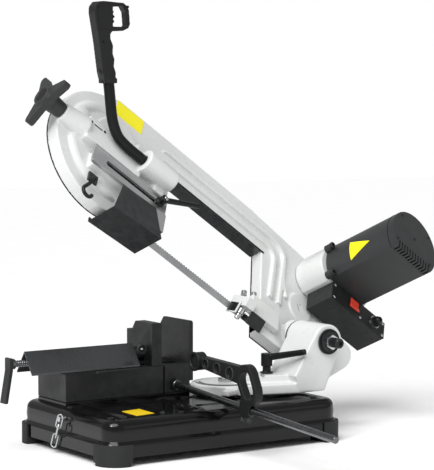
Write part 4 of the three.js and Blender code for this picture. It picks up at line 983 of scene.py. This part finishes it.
# ------------------------------------------------------------ motor and controls
def build_motor():
    """The gearbox, motor, control box, switch and cable gland."""
    moulded("gearbox_housing", 1.8, 7)
    rounded("motor_housing", 1.2)
    rounded("motor_end_cap", 1.3)
    for i, (u, v) in enumerate([(-46, -22), (46, -22), (-38, 40), (38, 40), (0, 8)]):
        at = (MOTOR_X + u, -240, MOTOR_Z + v)
        pan_screw(f"cap_screw_{i}", BOW, at, (0, -1, 0), 3.2, "bow", LOOKS["black_sheet"])
    seam = bmesh.new()
    turns = [math.radians(-39 + 258 * i / 60) for i in range(61)]
    outline = [(62.2 * math.cos(a), 62.2 * math.sin(a)) for a in turns]
    inner = [(61.2 / 62.2 * u, 61.2 / 62.2 * v) for u, v in outline]
    add_prism(seam, [(MOTOR_X + u, MOTOR_Z + v) for u, v in outline + inner[::-1]], "y", -226.6, -225.4)
    piece("cap_seam", seam, BOW, BLACK, "bow", slot="black_sheet")

    sign = bmesh.new()
    rows = 14
    grid = []
    for k in range(rows + 1):
        t = k / rows
        half = math.radians(18.5) * (1 - t)
        middle = math.radians(190)
        grid.append([(-136 - 48 * t, middle + half * (2 * i / rows - 1)) for i in range(rows + 1)])
    skin = {}
    for level, r in ((0, 61.9), (1, 62.5)):
        skin[level] = [
            [sign.verts.new((MOTOR_X + r * math.cos(a), y, MOTOR_Z + r * math.sin(a))) for y, a in line]
            for line in grid
        ]
    for k in range(rows):
        for i in range(rows):
            sign.faces.new([skin[1][k][i], skin[1][k][i + 1], skin[1][k + 1][i + 1], skin[1][k + 1][i]])
            sign.faces.new([skin[0][k][i], skin[0][k + 1][i], skin[0][k + 1][i + 1], skin[0][k][i + 1]])
    for k in range(rows):
        for i in (0, rows):
            sign.faces.new([skin[0][k][i], skin[1][k][i], skin[1][k + 1][i], skin[0][k + 1][i]])
        sign.faces.new([skin[0][0][k], skin[0][0][k + 1], skin[1][0][k + 1], skin[1][0][k]])
    bmesh.ops.remove_doubles(sign, verts=sign.verts, dist=1e-4)
    bmesh.ops.recalc_face_normals(sign, faces=sign.faces)
    piece("motor_label", sign, BOW, YELLOW, "bow", slot="gloss_black_paint")

    for i, angle in enumerate((162, 215)):
        c, s = math.cos(math.radians(angle)), math.sin(math.radians(angle))
        at = (MOTOR_X + 69 * c, -92, MOTOR_Z + 69 * s)
        cap_screw(f"motor_bolt_{i}", BOW, at, (0, -1, 0), 6.0, 5.5, "bow", LOOKS["black_sheet"])
    rounded("control_box", 1.2)
    rounded("control_panel", 0.6)
    for i, (x, z) in enumerate([(26, 105), (26, 133), (164, 105), (164, 133), (100, 105)]):
        pan_screw(f"panel_screw_{i}", BOW, (x, -84.3, z), (0, -1, 0), 3.0, "bow", LOOKS["bare_steel"])
    rounded("rocker_switch", 0.9)
    frame_bars = bmesh.new()
    bars = [(67, 69.2, 109, 135), (94.8, 97, 109, 135), (69, 95, 133, 135), (69, 95, 109, 111)]
    for x0, x1, z0, z1 in bars:
        add_box(frame_bars, x0, x1, -85.6, -84.2, z0, z1)
    piece("rocker_bezel", frame_bars, BOW, LOOKS["black_plastic"], "bow", round_by=0.3, slot="black_plastic")
    gland = bmesh.new()
    profile = [(-4, 0), (-4, 6), (2, 6), (2.01, 10.5), (6, 10.5)]
    for i in range(3):
        profile += [(6.2 + 2.6 * i, 8.4), (8 + 2.6 * i, 8.4), (8.2 + 2.6 * i, 7.6), (8.8 + 2.6 * i, 7.6)]
    profile += [(15, 7), (17, 6), (18, 5.6), (18, 3.6), (14, 3.2), (14, 0)]
    add_lathe(gland, profile, (140, -82.4, 120), (0, -1, 0), 32)
    piece("gland_body", gland, BOW, LOOKS["black_plastic"], "bow", ("cable_gland",))
    nut = bmesh.new()
    add_ring(nut, [(0, 9), (0, 12.5), (2, 12.5), (2, 9)], (140, -84.5, 120), (0, -1, 0), 32)
    piece("gland_ring", nut, BOW, LOOKS["bare_steel"], "bow", slot="bare_steel")


def build_inside():
    """What the covers hide, seen when the saw is opened up."""
    for node in ("idler_wheel", "drive_wheel", "tension_slide", "drive_axle", "drive_gear"):
        rounded(node, 0.5, 1)
    for node in ("gear_shaft", "motor_stator", "motor_rotor"):
        rounded(node, 0.3, 1)


stage_and_light()
build_tray()
build_chain()
build_base_parts()
build_lead_screw()
build_stop()
build_swivel()
build_hinge()
build_casting()
build_blade()
build_guides()
build_handle()
build_knob()
build_motor()
build_inside()
